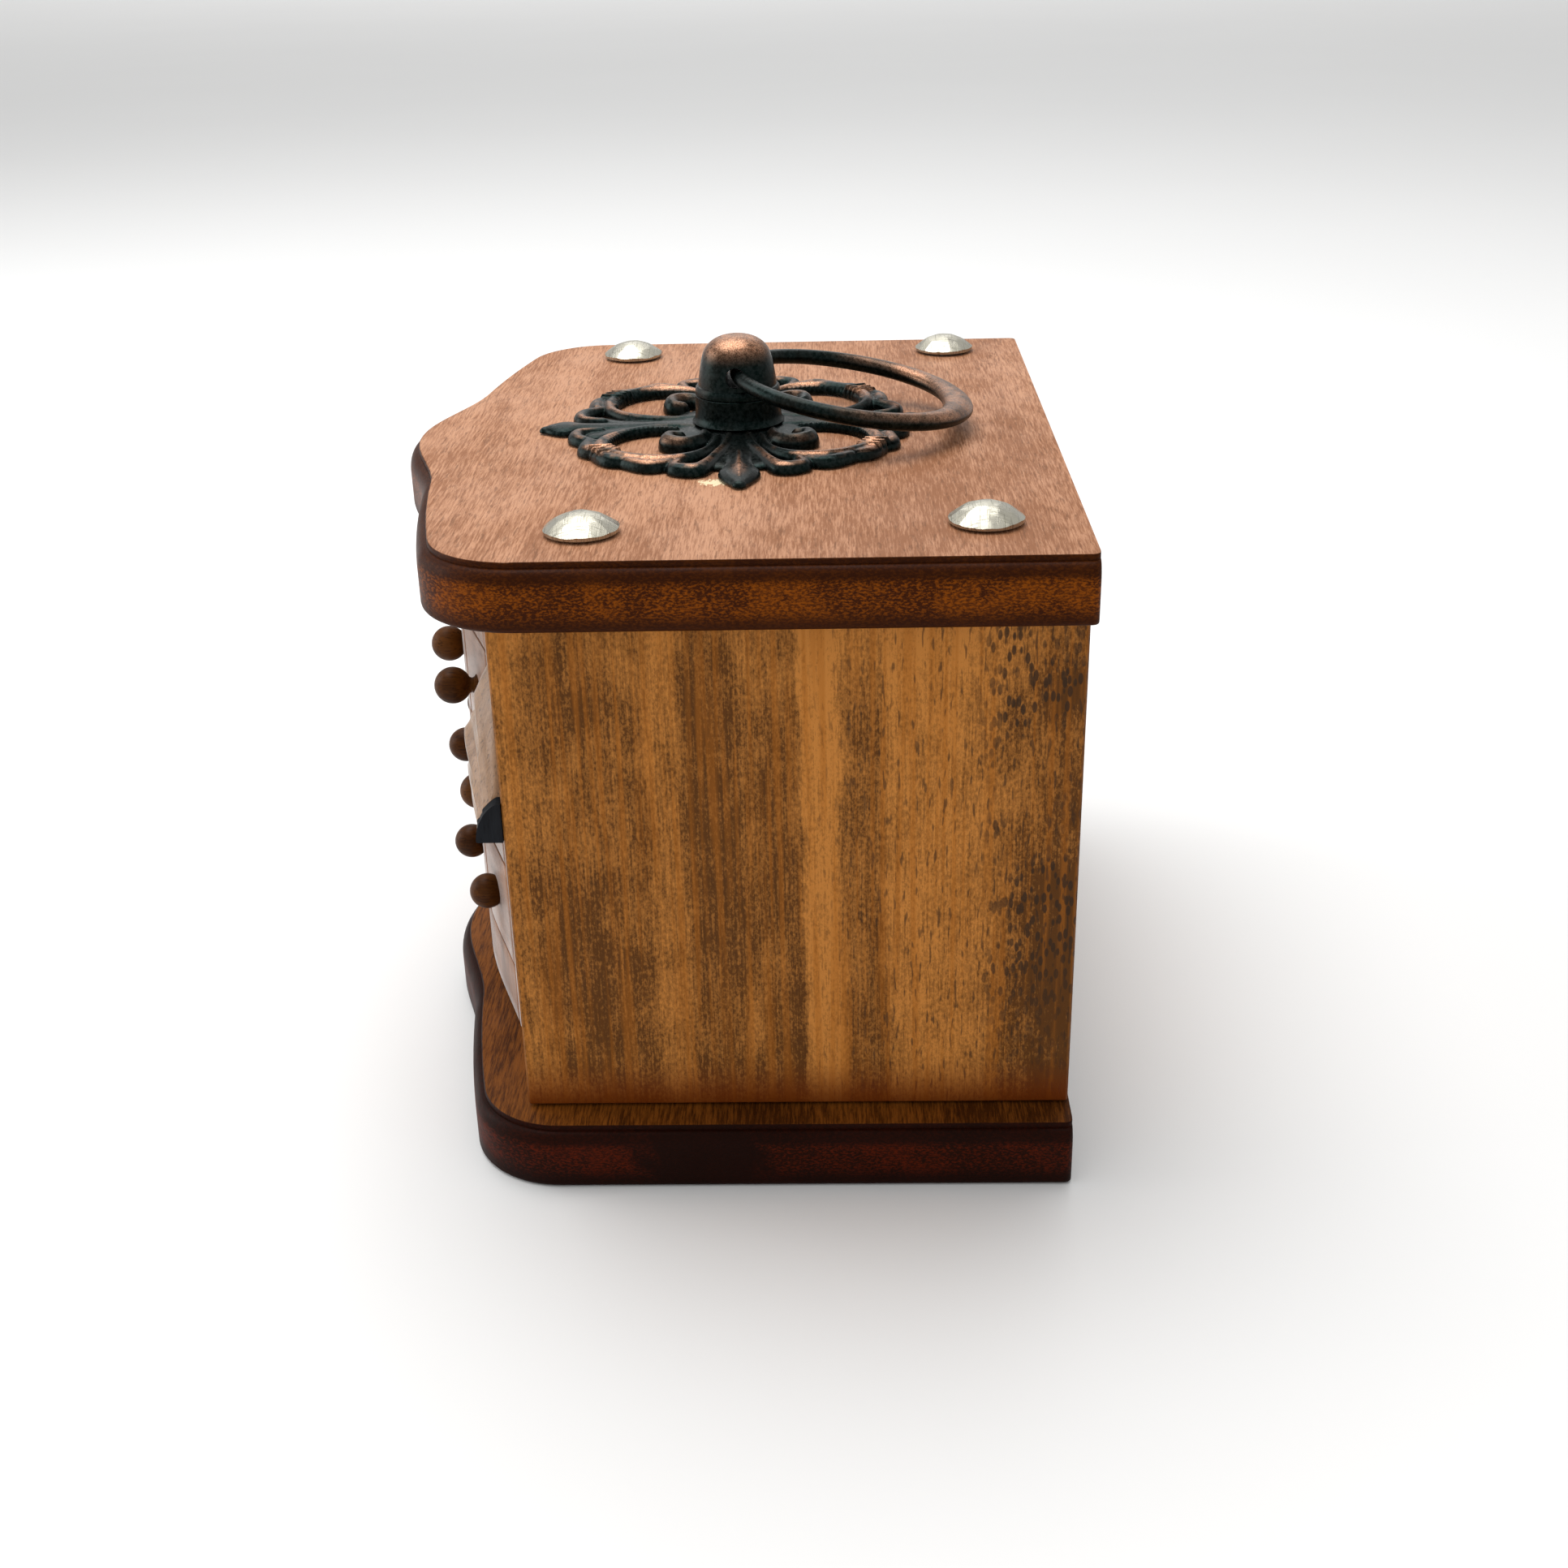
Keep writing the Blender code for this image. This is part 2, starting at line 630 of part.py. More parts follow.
def make_post():
    """Fixed collar, turning post with its spindle, crank and nut, and the ring through its eye."""
    bottom = TOP_FACE + 2 * GAP + ESCUTCHEON_THICK
    bore = SPINDLE_RADIUS + GAP
    collar = turned("post_collar", [(bore, COLLAR_TOP), (POST_RADIUS + 0.3 * MM, COLLAR_TOP),
                                    (COLLAR_RADIUS, COLLAR_TOP - MM), (COLLAR_RADIUS, bottom),
                                    (bore, bottom), (bore, COLLAR_TOP)])
    collar.location.y = POST_Y
    paint(collar, BRONZE, 0.45, 0.9)
    post = turned("ring_post", post_profile())
    post.location.y = POST_Y
    paint(post, BRONZE, 0.4, 0.9)
    eye = cylinder("ring_post_eye", EYE_RADIUS, (-12 * MM, POST_Y, EYE_HEIGHT),
                   (12 * MM, POST_Y, EYE_HEIGHT), "X", 20, CUTTERS)
    boolean(post, eye)
    crank = turned("lock_crank", [(bore, CRANK_HIGH), (CRANK_DISC, CRANK_HIGH), (CRANK_DISC, CRANK_LOW),
                                  (bore, CRANK_LOW), (bore, CRANK_HIGH)])
    crank.location.y = POST_Y
    pin_x = CRANK_RADIUS * math.sin(CRANK_START)
    pin_y = POST_Y + CRANK_RADIUS * math.cos(CRANK_START)
    pin = cylinder("lock_crank_pin", CRANK_PIN, (pin_x, pin_y, CRANK_LOW + MM),
                   (pin_x, pin_y, PIN_TOP), sides=12, collection=CUTTERS)
    boolean(crank, pin, "UNION")
    paint(crank, STEEL, 0.35, 0.9)
    hexagon = ellipse_loop(0, POST_Y, NUT_RADIUS, NUT_RADIUS, 6)
    nut = flat_outline("spindle_nut", hexagon, NUT_LOW, CRANK_LOW - GAP,
                       [ellipse_loop(0, POST_Y, bore, bore, 20)])
    paint(nut, STEEL, 0.35, 0.9)
    turn = mover("ring_post_turn", (0, POST_Y, COLLAR_TOP))
    hold(turn, post, crank, nut)
    hold_ring(turn)


def hold_ring(turn):
    bpy.ops.mesh.primitive_torus_add(major_radius=RING_RADIUS, minor_radius=WIRE_RADIUS,
                                     major_segments=48, minor_segments=10)
    ring = bpy.context.object
    ring.name = "pull_ring"
    for collection in list(ring.users_collection):
        collection.objects.unlink(ring)
    PARTS.objects.link(ring)
    ring.data.transform(Matrix.Translation((0.0, RING_RADIUS, 0.0)))
    ring.location = (0.0, POST_Y, EYE_HEIGHT)
    ring.rotation_euler.x = -RING_DROOP
    ring.data.shade_smooth()
    paint(ring, BRONZE, 0.35, 0.9)
    hold(turn, ring)


# ---------------------------------------------------------------- lock

def make_lock():
    """Bar with a crank slot, and the comb of three teeth that it carries."""
    heel = TOOTH_Y + TOOTH_WIDTH / 2
    outline = [(COMB_OUTER, BAR_FRONT), (BAR_END, BAR_FRONT), (BAR_END, BAR_REAR),
               (BAR_HEEL, BAR_REAR), (BAR_HEEL, heel), (COMB_OUTER, heel)]
    bar = flat_outline("lock_bar", outline, BAR_LOW, BAR_HIGH)
    travel = 2 * CRANK_RADIUS * math.sin(-CRANK_START)
    slot = SPINDLE_RADIUS + PIN_CLEAR
    cut_box(bar, (-travel - slot, POST_Y - slot, BAR_LOW - MM), (slot, POST_Y + slot, BAR_HIGH + MM))
    pin_x = CRANK_RADIUS * math.sin(CRANK_START)
    pin_slot = CRANK_PIN + PIN_CLEAR
    cut_box(bar, (pin_x - pin_slot, POST_Y + slot / 2, BAR_LOW - MM),
            (pin_x + pin_slot, POST_Y + CRANK_RADIUS + pin_slot, BAR_HIGH + MM))
    paint(bar, INNER_WOOD)
    comb = comb_piece()
    slide = mover("lock_slide", (COMB_OUTER, TOOTH_Y, BAR_LOW))
    hold(slide, bar, comb)
    near = BAR_FRONT - BAR_CLEAR
    far = BAR_REAR + BAR_CLEAR
    keeper = box("bar_keeper", (KEEPER_X[0], near - KEEPER_WALL, KEEPER_LOW),
                 (KEEPER_X[1], far + KEEPER_WALL, BODY_TOP - GAP))
    cut_box(keeper, (KEEPER_X[0] - MM, near, BAR_LOW - BAR_CLEAR),
            (KEEPER_X[1] + MM, far, BODY_TOP + MM))
    paint(keeper, INNER_WOOD)


def comb_piece():
    """The comb's outline is drawn in XZ and is one tooth's width thick."""
    foot = ROWS[0] - 2 * TOOTH_HALF
    outline = [(COMB_OUTER, foot), (COMB_INNER, foot)]
    for row in ROWS:
        outline += [(COMB_INNER, row - TOOTH_HALF), (TOOTH_TIP, row - TOOTH_HALF),
                    (TOOTH_TIP, row + TOOTH_HALF), (COMB_INNER, row + TOOTH_HALF)]
    outline += [(COMB_INNER, BAR_LOW - GAP), (COMB_OUTER, BAR_LOW - GAP)]
    comb = flat_outline("lock_comb", outline, -TOOTH_WIDTH / 2, TOOTH_WIDTH / 2)
    comb.rotation_euler.x = math.pi / 2
    comb.location.y = TOOTH_Y
    paint(comb, INNER_WOOD)
    return comb


clear_scene()
PARTS = new_collection("wooden_puzzle_box")
CUTTERS = new_collection("cutters")
make_boards()
make_panels()
make_stiles()
make_rails()
make_case()
for drawer_row, drawer_word in zip(ROWS, ROW_NAMES):
    make_drawer(drawer_row, drawer_word)
make_brackets()
make_escutcheon()
make_studs()
make_post()
make_lock()
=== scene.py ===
"""Looks for the wooden puzzle box: stained woods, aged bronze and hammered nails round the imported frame."""
import math
import random

import bmesh
import bpy
from mathutils import Matrix, Vector


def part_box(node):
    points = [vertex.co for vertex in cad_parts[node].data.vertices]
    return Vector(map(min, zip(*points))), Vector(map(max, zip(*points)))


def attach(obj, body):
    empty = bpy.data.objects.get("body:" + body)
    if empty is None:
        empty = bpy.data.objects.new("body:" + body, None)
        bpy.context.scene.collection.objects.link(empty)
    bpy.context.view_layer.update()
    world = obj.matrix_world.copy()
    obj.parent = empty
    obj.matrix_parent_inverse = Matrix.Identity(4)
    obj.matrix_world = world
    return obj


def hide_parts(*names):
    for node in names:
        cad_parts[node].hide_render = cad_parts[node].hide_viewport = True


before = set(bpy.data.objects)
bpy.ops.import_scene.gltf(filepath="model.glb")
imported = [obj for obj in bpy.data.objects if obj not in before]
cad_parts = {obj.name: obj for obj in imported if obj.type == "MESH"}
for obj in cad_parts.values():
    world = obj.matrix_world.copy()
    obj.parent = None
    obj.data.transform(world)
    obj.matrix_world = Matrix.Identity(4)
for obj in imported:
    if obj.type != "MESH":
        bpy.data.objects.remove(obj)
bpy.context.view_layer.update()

MM = 0.001

# ---------------------------------------------------------------- places taken from the frame

TOP_LOW, TOP_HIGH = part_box("top_board")
BASE_LOW, BASE_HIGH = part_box("base_board")
PANEL_LOW, PANEL_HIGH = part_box("side_panel_right")
COLLAR_LOW, COLLAR_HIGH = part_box("post_collar")
POST_LOW, POST_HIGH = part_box("ring_post")
PLATE_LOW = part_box("escutcheon")[0]
POST_Y = (COLLAR_LOW.y + COLLAR_HIGH.y) / 2
BODY_HALF = PANEL_HIGH.x
FRONT_FLAT = PANEL_LOW.y

# Serpentine edge of the boards, the same curve as the frame's
MOULD = 1.6 * MM
BOARD_HALF = TOP_HIGH.x - MOULD
BOARD_SHOULDER = 44.4 * MM
BOARD_LOBE = 4.8 * MM
BOARD_LOBE_HALF = 27.0 * MM
BOARD_SWEEP = 0.0021 / MM
CORNER_RADIUS = 13.0 * MM

# Bow of the front, and the clearance that touching pieces keep
BOW = 14.2 * MM
GAP = 0.3 * MM

# Spindle and its bore through the top board and the collar
SPINDLE_RADIUS = 2.0 * MM
BORE_RADIUS = 2.3 * MM

# Ring and eye
EYE_HEIGHT = 107.6 * MM
RING_RADIUS = 18.1 * MM
WIRE_RADIUS = 1.45 * MM
RING_DROOP = math.radians(10.0)


# ---------------------------------------------------------------- stage, light and camera

CAMERA_PLACE = (0.2995, 0.0164, 0.1771)
CAMERA_AZIMUTH = math.radians(91.74)
CAMERA_ELEVATION = math.radians(25.27)
CAMERA_ROLL = math.radians(-1.39)
CAMERA_LENS = 44.0
SENSOR_WIDTH = 36.0
FLOOR_SIZE = 12.0
SKY_STRENGTH = 0.62
BOX_MIDDLE = (0.0, 0.0, 0.05)
# name, place, target, diameter in metres, watts
SOFTBOXES = (
    ("softbox_above", (-0.25, -0.15, 1.0), BOX_MIDDLE, 0.9, 9.0),
    ("softbox_left", (-0.15, -0.9, 0.35), BOX_MIDDLE, 0.6, 3.0),
    ("softbox_far", (-5.0, 0.0, 2.5), (-5.0, 0.0, 0.0), 4.0, 50.0),
)


def make_camera():
    data = bpy.data.cameras.new("photo_camera")
    data.lens = CAMERA_LENS
    data.sensor_width = SENSOR_WIDTH
    data.clip_start = 0.01
    camera = bpy.data.objects.new("photo_camera", data)
    bpy.context.scene.collection.objects.link(camera)
    level = math.cos(CAMERA_ELEVATION)
    back = Vector((math.sin(CAMERA_AZIMUTH) * level, -math.cos(CAMERA_AZIMUTH) * level,
                   math.sin(CAMERA_ELEVATION)))
    right = Vector((math.cos(CAMERA_AZIMUTH), math.sin(CAMERA_AZIMUTH), 0.0))
    up = back.cross(right)
    rolled_right = math.cos(CAMERA_ROLL) * right + math.sin(CAMERA_ROLL) * up
    rolled_up = back.cross(rolled_right)
    axes = Matrix((rolled_right, rolled_up, back)).transposed().to_4x4()
    camera.matrix_world = Matrix.Translation(CAMERA_PLACE) @ axes
    bpy.context.scene.camera = camera


def make_light(name, place, target, size, power):
    data = bpy.data.lights.new(name, "AREA")
    data.shape = "DISK"
    data.size = size
    data.energy = power
    light = bpy.data.objects.new(name, data)
    bpy.context.scene.collection.objects.link(light)
    light.location = place
    light.rotation_euler = (Vector(target) - Vector(place)).to_track_quat("-Z", "Y").to_euler()


def make_stage():
    bpy.ops.mesh.primitive_plane_add(size=FLOOR_SIZE, location=(0.0, 0.0, 0.0))
    floor = bpy.context.object
    floor.name = "studio_floor"
    floor.data.materials.append(FLOOR_PAINT)
    world = bpy.data.worlds.new("studio")
    bpy.context.scene.world = world
    world.use_nodes = True
    sky = world.node_tree.nodes["Background"]
    sky.inputs["Color"].default_value = (1.0, 1.0, 1.0, 1.0)
    sky.inputs["Strength"].default_value = SKY_STRENGTH
    for softbox in SOFTBOXES:
        make_light(*softbox)
    bpy.context.scene.view_settings.view_transform = "Standard"


# ---------------------------------------------------------------- painting with nodes

class Paint:
    """A Principled material built one node at a time; lengths inside are millimetres."""

    def __init__(self, name, roughness=0.5, metallic=0.0, specular=0.5):
        self.material = bpy.data.materials.new(name)
        self.material.use_nodes = True
        self.tree = self.material.node_tree
        self.shader = self.tree.nodes["Principled BSDF"]
        self.shader.inputs["Roughness"].default_value = roughness
        self.shader.inputs["Metallic"].default_value = metallic
        self.shader.inputs["Specular IOR Level"].default_value = specular
        self.coordinates = self.tree.nodes.new("ShaderNodeTexCoord")

    def plug(self, socket, value):
        if isinstance(value, bpy.types.NodeSocket):
            self.tree.links.new(value, socket)
        elif hasattr(value, "__len__") and len(value) == 3 and len(socket.default_value) == 4:
            socket.default_value = (*value, 1.0)
        else:
            socket.default_value = value

    def add(self, kind, settings=None, **values):
        node = self.tree.nodes.new(kind)
        for key, value in (settings or {}).items():
            setattr(node, key, value)
        for key, value in values.items():
            self.plug(node.inputs[key], value)
        return node

    def place(self, per_mm=(1.0, 1.0, 1.0), shift=(0.0, 0.0, 0.0)):
        """The piece's own coordinates, scaled to so many noise cells a millimetre."""
        node = self.add("ShaderNodeMapping", Location=shift, Scale=[s / MM for s in per_mm])
        self.plug(node.inputs["Vector"], self.coordinates.outputs["Object"])
        return node.outputs["Vector"]

    def noise(self, where, detail=2.0, roughness=0.55, distortion=0.0):
        node = self.add("ShaderNodeTexNoise", Vector=where, Scale=1.0, Detail=detail,
                        Roughness=roughness, Distortion=distortion)
        return node.outputs["Fac"]

    def cells(self, where):
        """Distance to the nearest of scattered points, one a cell."""
        node = self.add("ShaderNodeTexVoronoi", {"feature": "F1"}, Vector=where, Scale=1.0)
        return node.outputs["Distance"]

    def axis(self, letter, source="Object"):
        node = self.add("ShaderNodeSeparateXYZ")
        self.plug(node.inputs[0], self.coordinates.outputs[source])
        return node.outputs[letter]

    def remap(self, value, low, high, out_low=0.0, out_high=1.0):
        """A smooth step from one output to the other; low may lie above high."""
        node = self.add("ShaderNodeMapRange", {"interpolation_type": "SMOOTHSTEP"})
        for index, item in enumerate((value, low, high, out_low, out_high)):
            self.plug(node.inputs[index], item)
        return node.outputs["Result"]

    def share(self, value, low, high):
        """The value as a share of the way from low to high."""
        node = self.add("ShaderNodeMapRange")
        for index, item in enumerate((value, low, high)):
            self.plug(node.inputs[index], item)
        return node.outputs["Result"]

    def math(self, operation, first, second=0.0):
        node = self.add("ShaderNodeMath", {"operation": operation})
        self.plug(node.inputs[0], first)
        self.plug(node.inputs[1], second)
        return node.outputs[0]

    def distance(self, x, y):
        across = self.math("MULTIPLY", x, x)
        return self.math("SQRT", self.math("ADD", across, self.math("MULTIPLY", y, y)))

    def mix(self, share, first, second):
        node = self.add("ShaderNodeMix", {"data_type": "RGBA", "blend_type": "MIX"})
        self.plug(node.inputs[0], share)
        self.plug(node.inputs[6], first)
        self.plug(node.inputs[7], second)
        return node.outputs[2]

    def ramp(self, value, stops):
        """Grey that eases through (share, grey) stops."""
        node = self.add("ShaderNodeValToRGB", Fac=value)
        node.color_ramp.interpolation = "EASE"
        elements = node.color_ramp.elements
        while len(elements) < len(stops):
            elements.new(0.5)
        for element, (position, grey) in zip(elements, stops):
            element.position = position
            element.color = (grey, grey, grey, 1.0)
        return node.outputs["Color"]

    def finish(self, colour, height=None, bump=0.2, depth=0.1 * MM, roughness=None):
        self.plug(self.shader.inputs["Base Color"], colour)
        if roughness is not None:
            self.plug(self.shader.inputs["Roughness"], roughness)
        if height is not None:
            node = self.add("ShaderNodeBump", Strength=bump, Distance=depth, Height=height)
            self.plug(self.shader.inputs["Normal"], node.outputs["Normal"])
        return self.material


def along(axis, across, length):
    """Noise cells a millimetre: across the grain on two axes, along it on the third."""
    return [length if letter == axis else across for letter in "XYZ"]


VEIL_ROUGHNESS = 0.25
WOOD_RELIEF = 0.12 * MM
PANEL_RELIEF = 0.1 * MM
METAL_RELIEF = 0.08 * MM


def wood(name, light, dark, axis, seed=0.0, roughness=0.5, specular=0.3, figure=0.5, pores=0.5, veil=0.0):
    """Stained hardwood: broad figure, fine fibres along the grain, short dark pores and a waxy veil."""
    paint = Paint(name, roughness, 0.0, specular)
    paint.shader.inputs["Sheen Weight"].default_value = veil
    paint.shader.inputs["Sheen Roughness"].default_value = VEIL_ROUGHNESS
    shift = (seed, seed * 1.7, seed * 0.6)
    broad = paint.noise(paint.place(along(axis, 0.11, 0.016), shift), 3.0, 0.5, 0.8)
    blotch = paint.noise(paint.place(along(axis, 0.45, 0.12), shift), 3.0, 0.6)
    fibre = paint.noise(paint.place(along(axis, 3.6, 0.16), shift), 4.0, 0.7)
    speck = paint.noise(paint.place(along(axis, 2.3, 0.42), shift), 2.0, 0.5)
    stain = paint.remap(broad, 0.38, 0.64)
    stain = paint.math("MULTIPLY", stain, figure)
    stain = paint.math("ADD", stain, paint.remap(blotch, 0.35, 0.7, 0.0, figure * 0.55))
    stain = paint.math("ADD", stain, paint.remap(fibre, 0.3, 0.72, -0.1, 0.3))
    colour = paint.mix(stain, light, dark)
    pore = paint.remap(speck, 0.58, 0.68, 0.0, pores)
    colour = paint.mix(pore, colour, [c * 0.35 for c in dark])
    height = paint.math("SUBTRACT", fibre, pore)
    sheen = paint.remap(blotch, 0.3, 0.7, roughness - 0.06, roughness + 0.08)
    return paint, colour, height, sheen


def plain_wood(name, light, dark, axis, **options):
    paint, colour, height, sheen = wood(name, light, dark, axis, **options)
    return paint.finish(colour, height, 0.25, WOOD_RELIEF, sheen)


def floor_paint():
    paint = Paint("pale_floor", 0.6, 0.0, 0.1)
    cloud = paint.noise(paint.place((0.004, 0.004, 0.004)), 2.0)
    return paint.finish(paint.mix(cloud, (0.80, 0.80, 0.795), (0.82, 0.82, 0.815)))


PANEL_LIGHT = (0.58, 0.225, 0.045)
PANEL_ORANGE = (0.40, 0.125, 0.012)
PANEL_DARK = (0.110, 0.040, 0.008)
PANEL_TICK = (0.040, 0.022, 0.012)
# painted shade and red glow along the foot of the panel
PANEL_FOOT_SHADE_AND_GLOW = (0.150, 0.026, 0.001)
PANEL_EDGE = (0.120, 0.050, 0.016)
# (share of the depth from front to back, smokiness)
PANEL_BANDS = ((0.0, 0.52), (0.03, 0.50), (0.08, 0.80), (0.17, 0.84), (0.24, 0.76), (0.27, 0.44),
               (0.305, 0.46), (0.34, 0.86), (0.40, 0.86), (0.43, 0.66), (0.48, 0.80), (0.515, 0.78),
               (0.53, 0.16), (0.575, 0.04), (0.605, 0.70), (0.655, 0.72), (0.68, 0.28), (0.78, 0.26),
               (0.83, 0.42), (0.90, 0.80), (0.97, 1.15), (1.0, 1.3))


def panel_paint(name, sign):
    """Golden veneer, grain upright: smoky bands in front, clean stripes, then dark ticks at the back."""
    paint = Paint(name, 0.5, 0.0, 0.08)
    shift = (3.0 * sign, 11.0 * sign, 5.0)
    drift = paint.noise(paint.place((0.02, 0.02, 0.035), shift), 3.0, 0.6)
    drift = paint.math("MULTIPLY", paint.math("SUBTRACT", drift, 0.5), 7.0 * MM)
    depth = paint.math("ADD", paint.axis("Y"), drift)
    bands = paint.ramp(paint.share(depth, PANEL_LOW.y, PANEL_HIGH.y), PANEL_BANDS)
    patch = paint.noise(paint.place((0.06, 0.06, 0.05), shift), 3.0, 0.6)
    bands = paint.math("MULTIPLY", bands, paint.remap(patch, 0.34, 0.60, 0.74, 1.14))
    sand = paint.noise(paint.place((2.1, 2.1, 1.3), shift), 3.0, 0.75)
    cloud = paint.noise(paint.place((0.30, 0.30, 0.16), shift), 3.0, 0.6)
    fibre = paint.noise(paint.place((3.4, 3.4, 0.10), shift), 4.0, 0.7)
    smoke = paint.math("ADD", bands, paint.remap(sand, 0.26, 0.74, -0.36, 0.36))
    smoke = paint.math("ADD", smoke, paint.remap(cloud, 0.32, 0.68, -0.13, 0.13))
    smoke = paint.math("ADD", smoke, paint.remap(fibre, 0.30, 0.72, -0.22, 0.24))
    smoke = paint.math("SUBTRACT", smoke, paint.remap(paint.axis("Z"), 74 * MM, 88 * MM, 0.0, 0.30))
    colour = paint.mix(smoke, PANEL_LIGHT, PANEL_DARK)
    streak = paint.noise(paint.place((0.9, 0.9, 0.02), shift), 2.0, 0.5)
    colour = paint.mix(paint.remap(streak, 0.46, 0.66, 0.0, 0.45), colour, PANEL_ORANGE)
    tick = paint.noise(paint.place((1.9, 1.9, 0.34), shift), 1.0, 0.4)
    behind = paint.remap(paint.axis("Y"), 8.0 * MM, 26.0 * MM, 0.15, 0.75)
    pores = paint.math("MULTIPLY", paint.remap(tick, 0.60, 0.70), behind)
    blots = paint.remap(paint.cells(paint.place((1.2, 1.2, 0.48), shift)), 0.47, 0.34)
    zone = paint.math("MULTIPLY", paint.remap(depth, 34.0 * MM, 40.0 * MM), paint.remap(patch, 0.36, 0.48))
    zone = paint.math("MULTIPLY", zone, paint.remap(paint.axis("Z"), 16 * MM, 40 * MM, 0.35, 1.0))
    dark = paint.math("MAXIMUM", pores, paint.math("MULTIPLY", blots, zone))
    colour = paint.mix(paint.math("MULTIPLY", dark, 0.85), colour, PANEL_TICK)
    # painted shade and red glow: the panel turns dark orange-red towards its foot, next to the base board
    foot = paint.remap(paint.axis("Z"), 19 * MM, 10.3 * MM, 0.0, 0.85)
    colour = paint.mix(foot, colour, PANEL_FOOT_SHADE_AND_GLOW)
    edge = paint.math("ABSOLUTE", paint.axis("Y", "Normal"))
    colour = paint.mix(paint.remap(edge, 0.5, 0.9, 0.0, 0.7), colour, PANEL_EDGE)
    height = paint.math("SUBTRACT", paint.math("ADD", fibre, paint.math("MULTIPLY", sand, 0.5)), dark)
    sheen = paint.remap(cloud, 0.3, 0.7, 0.40, 0.56)
    return paint.finish(colour, height, 0.3, PANEL_RELIEF, sheen)


BARE_WOOD = (0.80, 0.66, 0.42)


def board_paint(name, face_z, face, rim, seed, stain=None, chip=None):
    """Board with its grain along X: paler on its face, darker and dotted with end grain on its rim.

    A stain is the place along Y, and the reach, of a near-black patch on the rim. A chip is the
    place on the face where the finish has flaked off to bare wood.
    """
    paint = Paint(name, 0.48, 0.0, 0.06)
    shift = (seed, seed * 2.3, seed * 0.7)
    broad = paint.noise(paint.place((0.012, 0.09, 0.09), shift), 3.0, 0.55, 0.6)
    cloud = paint.noise(paint.place((0.06, 0.10, 0.10), shift), 3.0, 0.6)
    fibre = paint.noise(paint.place((0.22, 3.0, 3.0), shift), 4.0, 0.75)
    dash = paint.noise(paint.place((0.32, 2.2, 2.2), shift), 2.0, 0.55)
    dots = paint.noise(paint.place((1.1, 1.7, 3.6), shift), 3.0, 0.65)
    tone = paint.remap(broad, 0.35, 0.68, 0.0, 0.45)
    tone = paint.math("ADD", tone, paint.remap(cloud, 0.36, 0.68, 0.0, 0.35))
    tone = paint.math("ADD", tone, paint.remap(fibre, 0.30, 0.72, -0.55, 0.75))
    # painted shade: the face darkens towards the back and towards its +X edge
    tone = paint.math("ADD", tone, paint.remap(paint.axis("Y"), 0.0, 45 * MM, 0.0, 0.22))
    tone = paint.math("ADD", tone, paint.remap(paint.axis("X"), 34 * MM, 62 * MM, 0.0, 0.16))
    top = paint.mix(tone, *face)
    top = paint.mix(paint.remap(dash, 0.57, 0.68, 0.0, 0.45), top, [c * 0.5 for c in face[1]])
    speck = paint.math("ADD", paint.remap(dots, 0.34, 0.60), paint.remap(broad, 0.4, 0.6, -0.2, 0.2))
    side = paint.mix(speck, *rim)
    height = paint.axis("Z")
    # painted shade: the rim darkens towards its lower edge (low); it is also darker in the fillet just under
    # the face (under)
    under = paint.remap(height, face_z - 3.3 * MM, face_z - 2.1 * MM, 0.0, 0.85)
    low = paint.remap(height, face_z - 6.0 * MM, face_z - 8.8 * MM, 0.0, 0.9)
    rim_shade_and_stain = paint.math("MAXIMUM", under, low)
    if stain:
        away = paint.math("ABSOLUTE", paint.math("SUBTRACT", paint.axis("Y"), stain[0]))
        away = paint.math("ADD", away, paint.remap(cloud, 0.3, 0.7, -4.0 * MM, 4.0 * MM))
        rim_shade_and_stain = paint.math("MAXIMUM", rim_shade_and_stain, paint.remap(away, stain[1], 0.4 * stain[1], 0.0, 0.95))
    # the painted shade, and the stain where there is one, darken the rim
    side = paint.mix(rim_shade_and_stain, side, [c * 0.6 for c in rim[1]])
    if chip:
        from_x = paint.math("MULTIPLY", paint.math("SUBTRACT", paint.axis("X"), chip[0]), 1.5)
        from_y = paint.math("SUBTRACT", paint.axis("Y"), chip[1])
        away = paint.distance(from_x, from_y)
        away = paint.math("ADD", away, paint.remap(dots, 0.3, 0.7, -1.2 * MM, 1.2 * MM))
        top = paint.mix(paint.remap(away, 2.2 * MM, 1.7 * MM), top, BARE_WOOD)
    facing = paint.math("MULTIPLY", paint.remap(paint.axis("Z", "Normal"), 0.55, 0.97),
                        paint.remap(height, face_z - 0.45 * MM, face_z - 0.15 * MM))
    colour = paint.mix(facing, side, top)
    sheen = paint.remap(cloud, 0.3, 0.7, 0.40, 0.55)
    relief = paint.math("ADD", fibre, paint.math("MULTIPLY", dots, 0.5))
    return paint.finish(colour, relief, 0.35, WOOD_RELIEF, sheen)


